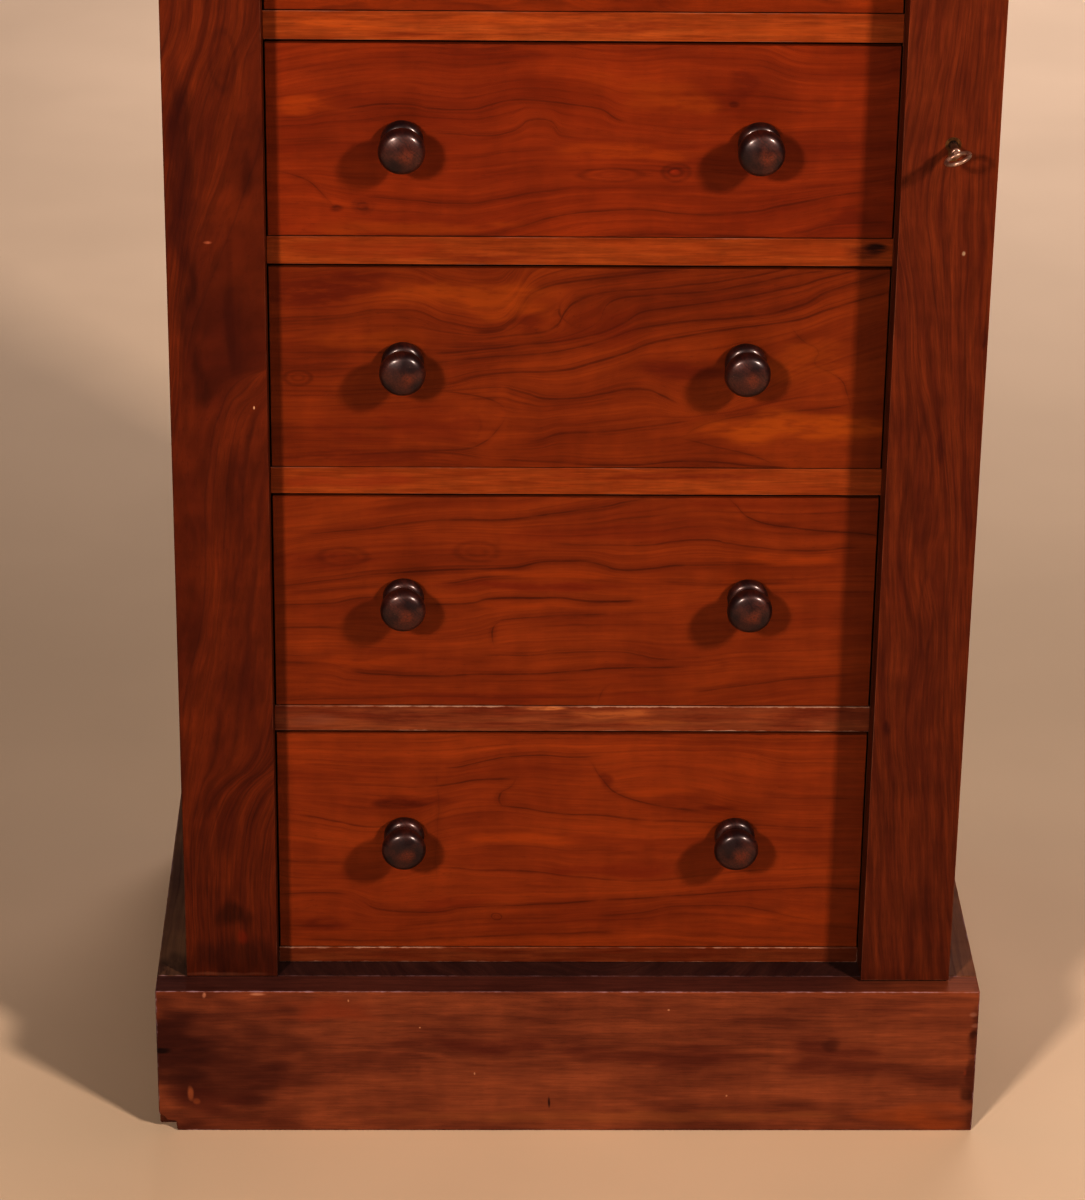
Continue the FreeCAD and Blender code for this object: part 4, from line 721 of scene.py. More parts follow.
def flowFigure(desk, local, warp, cut):
    # the growth between the flow lines, and every drawn dark line of the board
    rippled = desk.vector("ADD", local, desk.vector("SCALE", warp, cut["ripple"]))
    along, across, depth = desk.split(rippled)
    away = [desk.minus(across, desk.curve(along, points)) for points, _ in cut["flows"]]
    levels = [sum(height for _, height in points) / len(points) for points, _ in cut["flows"]]
    growth = desk.plus(levels[-1], desk.maths("MINIMUM", away[-1], 0.0))
    for index in range(len(away) - 1):
        growth = desk.group(grainStep, Lower=away[index + 1], Upper=away[index],
                            Rise=levels[index] - levels[index + 1], Growth=growth)["Growth"]
    growth = desk.plus(growth, desk.maths("MAXIMUM", away[0], 0.0))
    growth = desk.maths("MULTIPLY_ADD", depth, 0.35, growth)
    parts = [(along, gap, *part) for gap, (_, dark) in zip(away, cut["flows"]) for part in dark]
    for reading, height, lines in ((along, across, cut["strokes"]), (across, along, cut["turned"])):
        parts += [(reading, desk.minus(height, desk.curve(reading, points)), points[0][0],
                   points[-1][0], strength, width) for points, strength, width in lines]
    drawn = 0.0
    for reading, gap, start, end, strength, width in parts:
        line = desk.group(grainStroke, Along=reading, Away=gap, Start=start, End=end, Width=width,
                          Strength=strength)["Line"]
        drawn = desk.maths("MAXIMUM", drawn, line)
    moved = desk.join(along, across, 0.0)
    for at, height, length, reach, strength in cut["loops"]:
        line = desk.group(grainLoop, Local=moved, Centre=(at, height, 0), Reach=(length, reach, throughBoard),
                          Strength=strength)["Line"]
        drawn = desk.maths("MAXIMUM", drawn, line)
    return growth, drawn


woodLook = {
    # sizes are millimetres along, across and into the board
    "bandWidth": 9.0, "bandShare": 0.6, "unevenSize": (70, 24, 30), "fineSpacing": 0.27,
    "swellRagged": 0.5, "markRagged": 1.8, "markCore": 0.35,
    "edgeWearAndPaintedLightSize": (9, 5, 5), "edgeWearAndPaintedLightPatches": (70, 20, 20), "rubSize": (120, 60, 60), "planeSize": (60, 40, 40),
    "topDirtAndPaintedLightEdge": 0.6,
    # shares
    "wornRough": 0.2, "poreRough": 0.12, "coatRough": 0.28,
    # metres
    "planeHeight": 0.0012, "grainHeight": 0.00006,
}


def readBoard(desk, cut):
    # what a finish has to know at each spot of the board; the places are along, across and into it
    space = desk.group(boardSpace)
    parts = dict(zip("XYZ", desk.split(space["Local"])))
    local = desk.join(*(parts[axis] for axis in cut["axes"]))
    loose = desk.vector("ADD", local, space["Shift"])
    tree = desk.group(treeGrowth, Local=local, Loose=loose, Across=cut["across"], Depth=cut["depth"],
                      Lean=cut["lean"], Sway=cut["sway"], Ripple=cut["ripple"])
    growth, warp = tree["Growth"], tree["Warp"]
    for along, across, length, height, lift in cut["swells"]:
        patch = desk.group(swell, Local=local, Warp=warp, Centre=(along, across, 0),
                           Reach=(length, height, throughBoard), Ragged=woodLook["swellRagged"],
                           Inner=0.0, Lift=lift, Growth=growth)
        growth = patch["Growth"]
    drawn, figured = 0.0, loose
    if cut["flows"]:
        growth, drawn = flowFigure(desk, local, warp, cut)
        along, _, depth = desk.split(local)
        figured = desk.vector("ADD", desk.join(along, growth, depth), space["Shift"])
    return {"local": local, "loose": loose, "figured": figured, "growth": growth, "warp": warp,
            "drawn": drawn, "fibres": desk.group(fibre, Loose=figured), "edge": space["Edge"]}


def groundColour(desk, timber, cut, board):
    # slow clouds and bands of light and dark wood, streaked along the fibres
    cloud = desk.grain(board["figured"], cut["cloud"], 3.0, 0.55)[0]
    band = desk.lineNoise(desk.maths("DIVIDE", board["growth"], woodLook["bandWidth"]), 2.5, 0.6)
    tone = desk.span(desk.plus(cloud, desk.times(band, woodLook["bandShare"])), *cut["toneSpan"])
    colour = desk.blend(tone, paint(timber["deep"]), paint(timber["light"]))
    streak = desk.span(board["fibres"]["Streak"], 0.28, 0.72, 1 - cut["streaks"], 1 + cut["streaks"])
    mottle = desk.span(board["fibres"]["Mottle"], 0.3, 0.7, 1 - timber["mottle"], 1 + timber["mottle"])
    shade = desk.times(streak, mottle)
    along, across, _ = desk.split(board["local"])
    if cut["paintedFootShade"] < 1:
        # painted shade, darker towards the foot where less lamp light reaches
        shade = desk.times(shade, desk.span(along, *cut["paintedFootShadeSpan"], cut["paintedFootShade"], 1.0, "LINEAR"))
    colour = desk.vector("MULTIPLY", desk.vector("SCALE", colour, shade), cut["tint"])
    if cut["topDirtAndPaintedLightAbove"]:
        # a dull upper edge, fading towards the right: darker on the plinth front's top, dust and painted
        # shade; lighter and greyer on the side boards' tops, a painted reflection
        upper = desk.span(across, cut["topDirtAndPaintedLightAbove"], cut["topDirtAndPaintedLightAbove"] + woodLook["topDirtAndPaintedLightEdge"])
        share = desk.times(upper, desk.span(along, *cut["topDirtAndPaintedLightSpan"], 1.0, 0.0))
        colour = desk.blend(share, colour, desk.vector("MULTIPLY", colour, cut["topDirtAndPaintedLight"]))
    return colour


def ringColour(desk, timber, cut, board, colour):
    # dark ring lines, stronger in places, with finer ones between them, and the open pores
    growth, spacing = board["growth"], cut["spacing"]
    uneven = desk.span(desk.grain(board["loose"], woodLook["unevenSize"], 2.0)[0], 0.36, 0.6, 0.3, 1.0)
    strong = desk.group(ringLines, Growth=growth, Spacing=spacing, Softness=0.26)["Line"]
    line = desk.times(strong, desk.times(uneven, cut["ringShare"]))
    colour = desk.blend(desk.times(line, timber["lineDepth"]), colour, paint(timber["line"]))
    between = spacing * woodLook["fineSpacing"]
    fine = desk.group(ringLines, Growth=growth, Spacing=between, Softness=0.2)["Line"]
    colour = desk.blend(desk.times(fine, timber["fineDepth"]), colour, paint(timber["line"]))
    pores = desk.times(board["fibres"]["Pore"], timber["poreDepth"])
    return desk.blend(pores, colour, paint(timber["pore"])), line


def markColour(desk, timber, cut, board, colour):
    # the drawn grain lines and the marks (stains, and one painted shade on a plinth side), both broken up
    # along the grain
    broken = desk.grain(board["loose"], cut["broken"], 3.0, 0.6)[0]
    broken = desk.span(broken, 0.3, 0.58, cut["evenness"], 1.0)
    if cut["flows"]:
        share = desk.times(desk.maths("MULTIPLY_ADD", broken, 0.7, 0.3), cut["drawn"])
        colour = desk.blend(desk.times(board["drawn"], share), colour, paint(timber["line"]))
    for along, across, length, height, stain, strength in cut["marks"]:
        patch = desk.group(swell, Local=board["local"], Warp=board["warp"], Centre=(along, across, 0),
                           Reach=(length, height, throughBoard), Ragged=woodLook["markRagged"],
                           Inner=woodLook["markCore"], Lift=0.0, Growth=0.0)
        share = desk.times(desk.times(patch["Inside"], strength), broken)
        colour = desk.blend(share, colour, paint(stain))
    return colour


def edgeWearAndPaintedLightColour(desk, timber, board, colour):
    # edges rubbed pale where hands and dusters reach, in patches, partly a painted highlight on the rails'
    # top edges; on the drawer fronts the edges are darkened instead, dirt and painted shade in the gaps round
    # them
    wide = timber["edgeWearAndPaintedLightWidth"]
    ragged = desk.grain(board["loose"], woodLook["edgeWearAndPaintedLightSize"], 3.0, 0.6)[0]
    reach = desk.maths("MULTIPLY_ADD", ragged, -1.6 * wide, desk.plus(board["edge"], 0.55 * wide))
    patchy = desk.span(desk.grain(board["loose"], woodLook["edgeWearAndPaintedLightPatches"], 2.0)[0], 0.4, 0.62, 0.15, 1.0)
    edgeWearAndPaintedLight = desk.times(desk.span(reach, -0.2, 0.6, 1.0, 0.0), patchy)
    return desk.blend(desk.times(edgeWearAndPaintedLight, timber["wear"]), colour, paint(timber["edgeWearAndPaintedLight"])), edgeWearAndPaintedLight


def woodSurface(desk, shader, timber, board, line, edgeWearAndPaintedLight):
    # rubbed and worn in places, open at the pores, and not quite flat from the plane
    streak, pore = board["fibres"]["Streak"], board["fibres"]["Pore"]
    rub = desk.grain(board["local"], woodLook["rubSize"], 3.0)[0]
    rough = desk.span(rub, 0.3, 0.7, timber["sheen"] - 0.07, timber["sheen"] + 0.1)
    rough = desk.plus(rough, desk.times(edgeWearAndPaintedLight, woodLook["wornRough"]))
    rough = desk.maths("ADD", rough, desk.times(pore, woodLook["poreRough"]), clamp=True)
    desk.feed(shader.inputs["Roughness"], rough)
    relief = desk.minus(desk.minus(desk.times(streak, 0.5), pore), desk.times(line, 0.3))
    planed = desk.grain(board["local"], woodLook["planeSize"], 2.0)[0]
    planed = desk.bump(planed, woodLook["planeHeight"], 0.5)
    desk.feed(shader.inputs["Normal"], desk.bump(relief, woodLook["grainHeight"], 0.7, planed))
    polish(shader, timber["gloss"], timber["coat"], woodLook["coatRough"])


def woodFinish(name, timber, cut):
    # one board's finish, from its timber and the way it was cut
    cut = dict(plainBoard, **cut)
    material, desk, shader = newFinish(name)
    board = readBoard(desk, cut)
    colour = groundColour(desk, timber, cut, board)
    colour, line = ringColour(desk, timber, cut, board, colour)
    colour = markColour(desk, timber, cut, board, colour)
    colour, edgeWearAndPaintedLight = edgeWearAndPaintedLightColour(desk, timber, board, colour)
    desk.feed(shader.inputs["Base Color"], colour)
    woodSurface(desk, shader, timber, board, line, edgeWearAndPaintedLight)
    return material


def polish(shader, gloss, coat, coatRough):
    shader.inputs["Specular IOR Level"].default_value = gloss
    shader.inputs["Coat Weight"].default_value = coat
    shader.inputs["Coat Roughness"].default_value = coatRough


hardwood = {
    "deep": "#2c1416", "light": "#4f2a21", "ring": "#1f0e10", "rubbed": "#7b3f23", "scuff": "#958372",
    "slope": (0.72, 0.69), "ringSpacing": 2.1, "ringShare": 0.55, "domeSpan": (-20.0, -24.0),
    "domeShare": 0.55, "scuffShare": 0.35, "sheen": (0.4, 0.52), "relief": 0.00008,
    "gloss": 0.55, "coat": 0.6, "coatRough": 0.25,
}


def turnedWoodFinish(timber):
    # polished dark hardwood of the knobs, with its rings seen on the end
    material, desk, shader = newFinish("knobHardwood")
    space = desk.group(boardSpace)
    x, y, z = desk.split(space["Local"])
    loose = desk.vector("ADD", space["Local"], space["Shift"])
    wander = desk.vector("SUBTRACT", desk.grain(loose, (9, 22, 9), 2.0)[1], (0.5, 0.5, 0.5))
    wave, _, _ = desk.split(wander)
    slant = desk.plus(desk.times(x, timber["slope"][0]), desk.times(z, timber["slope"][1]))
    growth = desk.maths("MULTIPLY_ADD", wave, 6.0, slant)
    rings = desk.group(ringLines, Growth=growth, Spacing=timber["ringSpacing"], Softness=0.25)["Line"]
    cloud = desk.grain(loose, (14, 18, 14), 2.0)[0]
    colour = desk.blend(desk.span(cloud, 0.34, 0.66), paint(timber["deep"]), paint(timber["light"]))
    colour = desk.blend(desk.times(rings, timber["ringShare"]), colour, paint(timber["ring"]))
    streak = desk.grain(loose, (1.1, 14, 1.1), 3.0, 0.6)[0]
    colour = desk.vector("SCALE", colour, desk.span(streak, 0.28, 0.72, 0.72, 1.25))
    # thumb-worn dome: a redder patch beside its middle, scuffed in small pale marks
    side = desk.minus(x, desk.maths("MULTIPLY_ADD", wave, 8.0, 3.0))
    patch = desk.vector("LENGTH", desk.join(side, 0.0, desk.plus(z, 1.5)))
    dome = desk.times(desk.span(y, *timber["domeSpan"]), desk.span(patch, 1.0, 7.5, 1.0, 0.0))
    dome = desk.times(dome, desk.span(streak, 0.3, 0.62, 0.35, 1.0))
    colour = desk.blend(desk.times(dome, timber["domeShare"]), colour, paint(timber["rubbed"]))
    scuff = desk.grain(loose, (2.4, 2.4, 0.6), 2.0)[0]
    scuffed = desk.span(scuff, 0.68, 0.75)
    scuff = desk.times(scuffed, desk.span(desk.grain(loose, (12, 12, 12))[0], 0.5, 0.62))
    colour = desk.blend(desk.times(scuff, timber["scuffShare"]), colour, paint(timber["scuff"]))
    desk.feed(shader.inputs["Base Color"], colour)
    rough = desk.span(desk.grain(loose, (5, 5, 5), 3.0)[0], 0.3, 0.7, *timber["sheen"])
    desk.feed(shader.inputs["Roughness"], desk.plus(rough, desk.times(scuff, 0.2)))
    relief = desk.minus(streak, scuff)
    desk.feed(shader.inputs["Normal"], desk.bump(relief, timber["relief"], 0.5))
    polish(shader, timber["gloss"], timber["coat"], timber["coatRough"])
    return material


def metalFinish(name, metal):
    # handled metal: bright where rubbed, brown in patches, finely scratched
    material, desk, shader = newFinish(name)
    space = desk.group(boardSpace)
    loose = desk.vector("ADD", space["Local"], space["Shift"])
    patch = desk.grain(loose, (7, 7, 7), 4.0, 0.62)[0]
    colour = desk.blend(desk.span(patch, 0.36, 0.64), paint(metal["tarnish"]), paint(metal["bright"]))
    spots = desk.span(desk.grain(loose, (1.6, 1.6, 1.6), 3.0)[0], 0.56, 0.7)
    colour = desk.blend(desk.times(spots, metal["spots"]), colour, paint(metal["spot"]))
    rubbed = desk.span(space["Edge"], 0.0, 0.5, 0.6, 0.0)
    colour = desk.blend(rubbed, colour, paint(metal["bright"]))
    desk.feed(shader.inputs["Base Color"], colour)
    rough = desk.span(patch, 0.3, 0.7, metal["rough"] + 0.14, metal["rough"] - 0.06)
    desk.feed(shader.inputs["Roughness"], desk.plus(rough, desk.times(spots, 0.2)))
    scratches = desk.grain(loose, (0.25, 6, 0.25), 2.0)[0]
    relief = desk.minus(desk.times(scratches, 0.5), spots)
    desk.feed(shader.inputs["Normal"], desk.bump(relief, 0.00005, 0.6))
    shader.inputs["Metallic"].default_value = metal["metallic"]
    return material


agedBrass = metalFinish("agedBrass", {
    "tarnish": "#664a30", "bright": "#8f7550", "spot": "#46352a", "spots": 0.6, "rough": 0.4,
    "metallic": 0.8,
})
paleSteel = metalFinish("paleSteel", {
    "tarnish": "#8a7468", "bright": "#b9a598", "spot": "#6a564a", "spots": 0.4, "rough": 0.32,
    "metallic": 0.6,
})
lockSteel = metalFinish("lockSteel", {
    "tarnish": "#6a6764", "bright": "#969490", "spot": "#614836", "spots": 0.6, "rough": 0.38,
    "metallic": 1.0,
})
knobHardwood = turnedWoodFinish(hardwood)
print("shared finishes made")


def solidsOf(node):
    # the node's triangles sorted into closed solids, in their own order; corners in whole microns
    mesh = frame["nodes"][node].data
    openEdges = set()
    current = []
    solids = []
    for polygon in mesh.polygons:
        corners = [tuple(round(c * micronsPerMetre) for c in mesh.vertices[i].co) for i in polygon.vertices]
        if len(set(corners)) < 3:
            continue
        current.append(corners)
        for pair in zip(corners, corners[1:] + corners[:1]):
            if pair[::-1] in openEdges:
                openEdges.remove(pair[::-1])
            else:
                openEdges.add(pair)
        if not openEdges:
            solids.append(current)
            current = []
    if current:
        solids.append(current)
    return solids


def addSolid(shape, triangles):
    # one solid's triangles, joined up and with their flat faces made whole
    points = {}
    made = []
    for triangle in triangles:
        for corner in triangle:
            if corner not in points:
                points[corner] = shape.verts.new(Vector(corner) * (1 / micronsPerMetre))
        try:
            made.append(shape.faces.new([points[corner] for corner in triangle]))
        except ValueError:      # the same triangle a second time
            continue
    for face in made:
        face.normal_update()
    edges = list(dict.fromkeys(edge for face in made for edge in face.edges))     # always in this order
    bmesh.ops.dissolve_limit(
        shape, angle_limit=math.radians(flatWithin), use_dissolve_boundaries=False,
        verts=list(points.values()), edges=edges, delimit={"NORMAL"},
    )


def islandsOf(mesh):
    # the vertex numbers of each separate shell
    parent = list(range(len(mesh.vertices)))

    def root(index):
        while parent[index] != index:
            parent[index] = parent[parent[index]]
            index = parent[index]
        return index

    for edge in mesh.edges:
        first, second = (root(index) for index in edge.vertices)
        parent[first] = second
    islands = {}
    for index in range(len(mesh.vertices)):
        islands.setdefault(root(index), []).append(index)
    return [islands[key] for key in sorted(islands, key=lambda key: islands[key][0])]


def markBoards(mesh, name, whole=False):
    # the board marks of each shell in millimetres, for the finishes to read
    luck = random.Random(name)
    islands = [list(range(len(mesh.vertices)))] if whole else islandsOf(mesh)
    values = {key: [0.0] * (3 * len(mesh.vertices)) for key in boardMarks}
    for island in islands:
        corners = [mesh.vertices[index].co for index in island]
        low = [min(corner[axis] for corner in corners) * perMetre for axis in range(3)]
        high = [max(corner[axis] for corner in corners) * perMetre for axis in range(3)]
        shift = [luck.uniform(-grainShift, grainShift) for _ in range(3)]
        for key, measure in zip(boardMarks, (low, high, shift)):
            for index in island:
                values[key][3 * index:3 * index + 3] = measure
    for key, numbers in values.items():
        mesh.attributes.new(key, "FLOAT_VECTOR", "POINT").data.foreach_set("vector", numbers)


def meshFrom(shape, name, smooth=False):
    # the worked shape as a mesh of its own
    mesh = bpy.data.meshes.new(name)
    shape.to_mesh(mesh)
    shape.free()
    if smooth:
        mesh.polygons.foreach_set("use_smooth", [True] * len(mesh.polygons))
    return mesh


def settle(item):
    # the item's modifiers worked into a plain mesh
    bpy.context.view_layer.update()
    evaluated = item.evaluated_get(bpy.context.evaluated_depsgraph_get())
    mesh = bpy.data.meshes.new_from_object(
        evaluated, preserve_all_data_layers=True, depsgraph=bpy.context.evaluated_depsgraph_get()
    )
    item.modifiers.clear()
    item.data = mesh
    return mesh


def newItem(name, data):
    item = bpy.data.objects.new(name, data)
    bpy.context.scene.collection.objects.link(item)
    return item


def present(item, node, *finishes, slot=None):
    # the finished piece stands for its CAD node, on the same body
    item.data.materials.clear()
    for finish in finishes:
        item.data.materials.append(finish)
    source = frame["nodes"][node]
    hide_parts(node)
    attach(item, source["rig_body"])


def shareFinishes(mesh, count):
    # separate boards take the finishes in turn, lowest board first and then from the left
    def place(island):
        corners = [mesh.vertices[index].co for index in island]
        return round(min(corner.z for corner in corners), 4), min(corner.x for corner in corners)

    islands = sorted(islandsOf(mesh), key=place)
    turnOf = {index: order % count for order, island in enumerate(islands) for index in island}
    for polygon in mesh.polygons:
        polygon.material_index = turnOf[polygon.vertices[0]]


def dress(node, name, finishes, edge, slot=None):
    # a copy of a CAD node with its edges eased
    shape = bmesh.new()
    for triangles in solidsOf(node):
        addSolid(shape, triangles)
    item = newItem(name, meshFrom(shape, name, smooth=True))
    ease = item.modifiers.new("Eased edges", "BEVEL")
    ease.width = edge * mm
    ease.segments = 2
    ease.limit_method = "ANGLE"
    ease.angle_limit = math.radians(edgeOver)
    ease.use_clamp_overlap = True
    ease.miter_outer = "MITER_ARC"
    item.modifiers.new("Even shading", "WEIGHTED_NORMAL").keep_sharp = True
    mesh = settle(item)
    markBoards(mesh, name)
    present(item, node, *finishes, slot=slot)
    if len(finishes) > 1:
        shareFinishes(mesh, len(finishes))


boardTable = [
    # node, piece name, timber, edge in millimetres
    ("plinth_front", "plinth_board_front", plinthWalnut, 1.1),
    ("plinth_back", "plinth_board_back", pine, 0.8),
    ("carcass_bottom", "case_bottom", pine, 0.5),
    ("side_left", "case_side_left", caseWalnut, 1.0),
    ("side_right", "case_side_right", caseWalnut, 1.0),
    ("sub_top", "case_sub_top", pine, 0.5),
    ("back_boards", "case_back_planks", pine, 0.9),
    ("stile_left", "case_stile_left", paleRail, 0.5),
    ("stile_right", "case_stile_right", paleRail, 0.5),
    ("top_rail", "case_top_rail", paleRail, 0.7),
    ("bottom_rail", "case_bottom_rail", rubbedRail, 0.9),
    ("drawer_runners", "case_runners", pine, 0.5),
    ("drawer_guides", "case_guides", pine, 0.5),
    ("drawer_stops", "case_stops", pine, 0.4),
    ("pilaster_left", "pilaster_fixed", leftWalnut, 0.9),
    ("frieze", "frieze_board", darkWalnut, 0.9),
    ("top_board", "top_panel", topWalnut, 0.9),
    ("top_moulding", "top_cove", darkWalnut, 0.35),
    ("flap", "pilaster_locking", darkWalnut, 0.9),
]
for node, name, timber, edge in boardTable:
    small = node in ("drawer_runners", "drawer_guides", "drawer_stops")
    cut = boardCuts["small_blocks" if small else node]
    dress(node, name, [woodFinish(name + "_finish", timber, cut)], edge)
innerFinish = woodFinish("plinth_inner_finish", plinthInner, boardCuts["plinth_blocks"])
dress("plinth_blocks", "plinth_bearers", [innerFinish], 0.8, slot="walnut_plinth")
plinthFinishes = [
    woodFinish(f"{side}_finish", plinthWalnut, dict(boardCuts["plinth_sides"], **boardCuts[side]))
    for side in ("plinth_left", "plinth_right")
]
dress("plinth_sides", "plinth_boards_side", plinthFinishes, 1.1)
railFinishes = [
    woodFinish(f"rail_{order}_finish", rubbedRail if order == 1 else paleRail,
               dict(boardCuts["drawer_rails"], **boardCuts.get(f"rail_{order}", {})))
    for order in range(1, 7)
]
dress("drawer_rails", "case_drawer_rails", railFinishes, 0.5)
print("case, plinth, top and pilasters made")

boxPine = woodFinish("drawer_box_finish", pine, boardCuts["drawer_boxes"])
bottomPine = woodFinish("drawer_bottom_finish", pine, boardCuts["drawer_bottoms"])
for number in range(1, 8):
    node = f"drawer_{number}_front"
    finish = woodFinish(node + "_finish", walnut, boardCuts[node])
    dress(node, f"drawer_{number}_face", [finish], 0.45)
    dress(f"drawer_{number}_box", f"drawer_{number}_sides", [boxPine], 0.6)
    dress(f"drawer_{number}_bottom", f"drawer_{number}_base", [bottomPine], 0.5)
print("drawers made")


def makeRepeats():
    # sets a small piece on each point it is given, turned about its own axis by chance
    tree = bpy.data.node_groups.new("Seated repeats", "GeometryNodeTree")
    sockets = {"Geometry": "Geometry", "Piece": "Object", "Finish": "Material", "Size": "Float",
               "Spin": "Float", "Facing": "Float", "Seed": "Int"}
    for name, kind in sockets.items():
        tree.interface.new_socket(name, in_out="INPUT", socket_type="NodeSocket" + kind)
    tree.interface.new_socket("Geometry", in_out="OUTPUT", socket_type="NodeSocketGeometry")
    desk = NodeDesk(tree)
    given = desk.add("NodeGroupInput").outputs
    master = desk.add("GeometryNodeObjectInfo", transform_space="ORIGINAL")
    desk.feed(master.inputs["Object"], given["Piece"])
    chance = desk.add("FunctionNodeRandomValue", data_type="FLOAT")
    desk.feed(chance.inputs[2], desk.times(given["Spin"], -1.0))
    desk.feed(chance.inputs[3], given["Spin"])
    desk.feed(chance.inputs["Seed"], given["Seed"])
    turn = desk.add("FunctionNodeEulerToRotation")
    desk.feed(turn.inputs[0], desk.join(0.0, chance.outputs[1], given["Facing"]))
    seat = desk.add("GeometryNodeInstanceOnPoints")
    for name, value in (("Points", given["Geometry"]), ("Instance", master.outputs["Geometry"]),
                        ("Rotation", turn.outputs[0]), ("Scale", given["Size"])):
        desk.feed(seat.inputs[name], value)
    real = desk.add("GeometryNodeRealizeInstances")
    desk.feed(real.inputs[0], seat.outputs[0])
    coat = desk.add("GeometryNodeSetMaterial")
    desk.feed(coat.inputs["Geometry"], real.outputs[0])
    desk.feed(coat.inputs["Material"], given["Finish"])
    desk.feed(desk.add("NodeGroupOutput").inputs["Geometry"], coat.outputs[0])
    return tree


repeats = makeRepeats()


def setRepeats(name, node, seats, master, finish, **given):
    # one plain mesh of a master piece set on every seat
    mesh = bpy.data.meshes.new(name)
    mesh.from_pydata([Vector(seat) * mm for seat in seats], [], [])
    item = newItem(name, mesh)
    modifier = item.modifiers.new("Repeats", "NODES")
    modifier.node_group = repeats
    codes = {socket.name: socket.identifier
             for socket in repeats.interface.items_tree if socket.in_out == "INPUT"}
    for key, value in dict(given, Piece=master, Finish=finish).items():
        modifier[codes[key]] = value
    markBoards(settle(item), name)
    present(item, node, finish)


def seatsOf(node, end, inset):
    # the middle of each solid of a node, set in from its front (min) or back (max), in millimetres
    seats = []
    for triangles in solidsOf(node):
        spots = zip(*(corner for triangle in triangles for corner in triangle))
        xs, ys, zs = ([spot * perMetre / micronsPerMetre for spot in axis] for axis in spots)
        seats.append(((min(xs) + max(xs)) / 2, end(ys) + inset, (min(zs) + max(zs)) / 2))
    return seats


def lathe(name, profile, steps, wobble=0.0):
    # a profile of (radius, forward) turned about the Y axis, forward being towards -Y, and a little
    # out of round where it wobbles
    shape = bmesh.new()
    rings = []
    for radius, forward in profile:
        if radius < 1e-6:
            rings.append([shape.verts.new((0, -forward * mm, 0))])
            continue
        ring = []
        for step in range(steps):
            angle = 2 * math.pi * step / steps
            x, z = math.cos(angle), math.sin(angle)
            uneven = wobble * noise.noise(Vector((x * 1.3, forward / 7, z * 1.3)))
            reach = radius + uneven
            ring.append(shape.verts.new((reach * x * mm, -forward * mm, reach * z * mm)))
        rings.append(ring)
    for first, second in zip(rings, rings[1:]):
        for step in range(steps):
            after = (step + 1) % steps
            if len(first) == 1:
                shape.faces.new((first[0], second[step], second[after]))
            elif len(second) == 1:
                shape.faces.new((first[step], first[after], second[0]))
            else:
                shape.faces.new((first[step], first[after], second[after], second[step]))
    bmesh.ops.recalc_face_normals(shape, faces=shape.faces)
    return meshFrom(shape, name, smooth=True)


def arcPoints(centre, radius, start, end, steps):
    # points on an arc; angles in degrees from the radial direction towards the front
    spots = []
    for step in range(steps + 1):
        angle = math.radians(start + (end - start) * step / steps)
        spots.append((centre[0] + radius * math.cos(angle), centre[1] + radius * math.sin(angle)))
    return spots


knobTurning = {
    # radii, and distances forward from the drawer's face, in millimetres
    "shank": 5, "shankLength": 20, "collar": 8.8, "collarRound": 5.4, "ring": 2.2, "cove": 1.2, "neck": 7.6,
    "ballCentre": (9.0, 25.0), "ballRound": 6.4, "domeCentre": 3.8, "reach": 33.2,
    "steps": 72, "wobble": 0.16, "size": 1.0, "spin": 3.1,
}


def knobProfile(turning):
    # shank, collar, ring, cove, neck, ball and dome, from the back forwards
    collar, bead, ring, cove = (turning[key] for key in ("collar", "collarRound", "ring", "cove"))
    ringCentre = 2 * bead + ring
    coveCentre = ringCentre + ring + cove
    dome = turning["reach"] - turning["domeCentre"]
    across, along = turning["ballCentre"]
    joint = math.degrees(math.atan2(along - turning["domeCentre"], across))
    neckEnd = -math.degrees(math.acos((turning["neck"] - across) / turning["ballRound"]))
    ballStart = along + turning["ballRound"] * math.sin(math.radians(neckEnd))
    shank, foot = turning["shank"], 0.1 - turning["shankLength"]
    spots = [(0, foot), (shank - 1.5, foot), (shank, foot + 0.9), (shank, -0.2), (shank, 0.05), (8.5, 0.05)]
    spots += arcPoints((collar, bead), bead, -88, 84, 16)
    spots += arcPoints((collar, ringCentre), ring, -76, 76, 9)
    spots += [(collar - 0.15, ringCentre + ring + 0.05)]
    spots += arcPoints((collar, coveCentre), cove, 258, 180, 7)
    spots += [(turning["neck"], (coveCentre + ballStart) / 2)]
    spots += arcPoints((across, along), turning["ballRound"], neckEnd, joint, 18)
    spots += arcPoints((0, turning["domeCentre"]), dome, joint, 90, 12)[1:-1]
    spots += [(0, turning["reach"])]
    return spots


knobMesh = lathe("knob_master", knobProfile(knobTurning), knobTurning["steps"], knobTurning["wobble"])
knobMaster = newItem("knob_master", knobMesh)
for number in range(1, 8):
    node = f"drawer_{number}_knobs"
    setRepeats(f"drawer_{number}_turned_knobs", node, seatsOf(node, max, -knobTurning["shankLength"]),
               knobMaster, knobHardwood, Size=knobTurning["size"], Spin=knobTurning["spin"], Facing=0.0,
               Seed=number)
print("knobs turned")

screwSettings = {
    "head": 2.6, "shank": 1.25, "headDepth": 1.6, "length": 10.6, "tip": 2.5,
    "slotCutter": (8, 1.4, 0.55), "steps": 28, "sunk": 0.02, "spin": 3.1,     # half the cutter is in the head
}


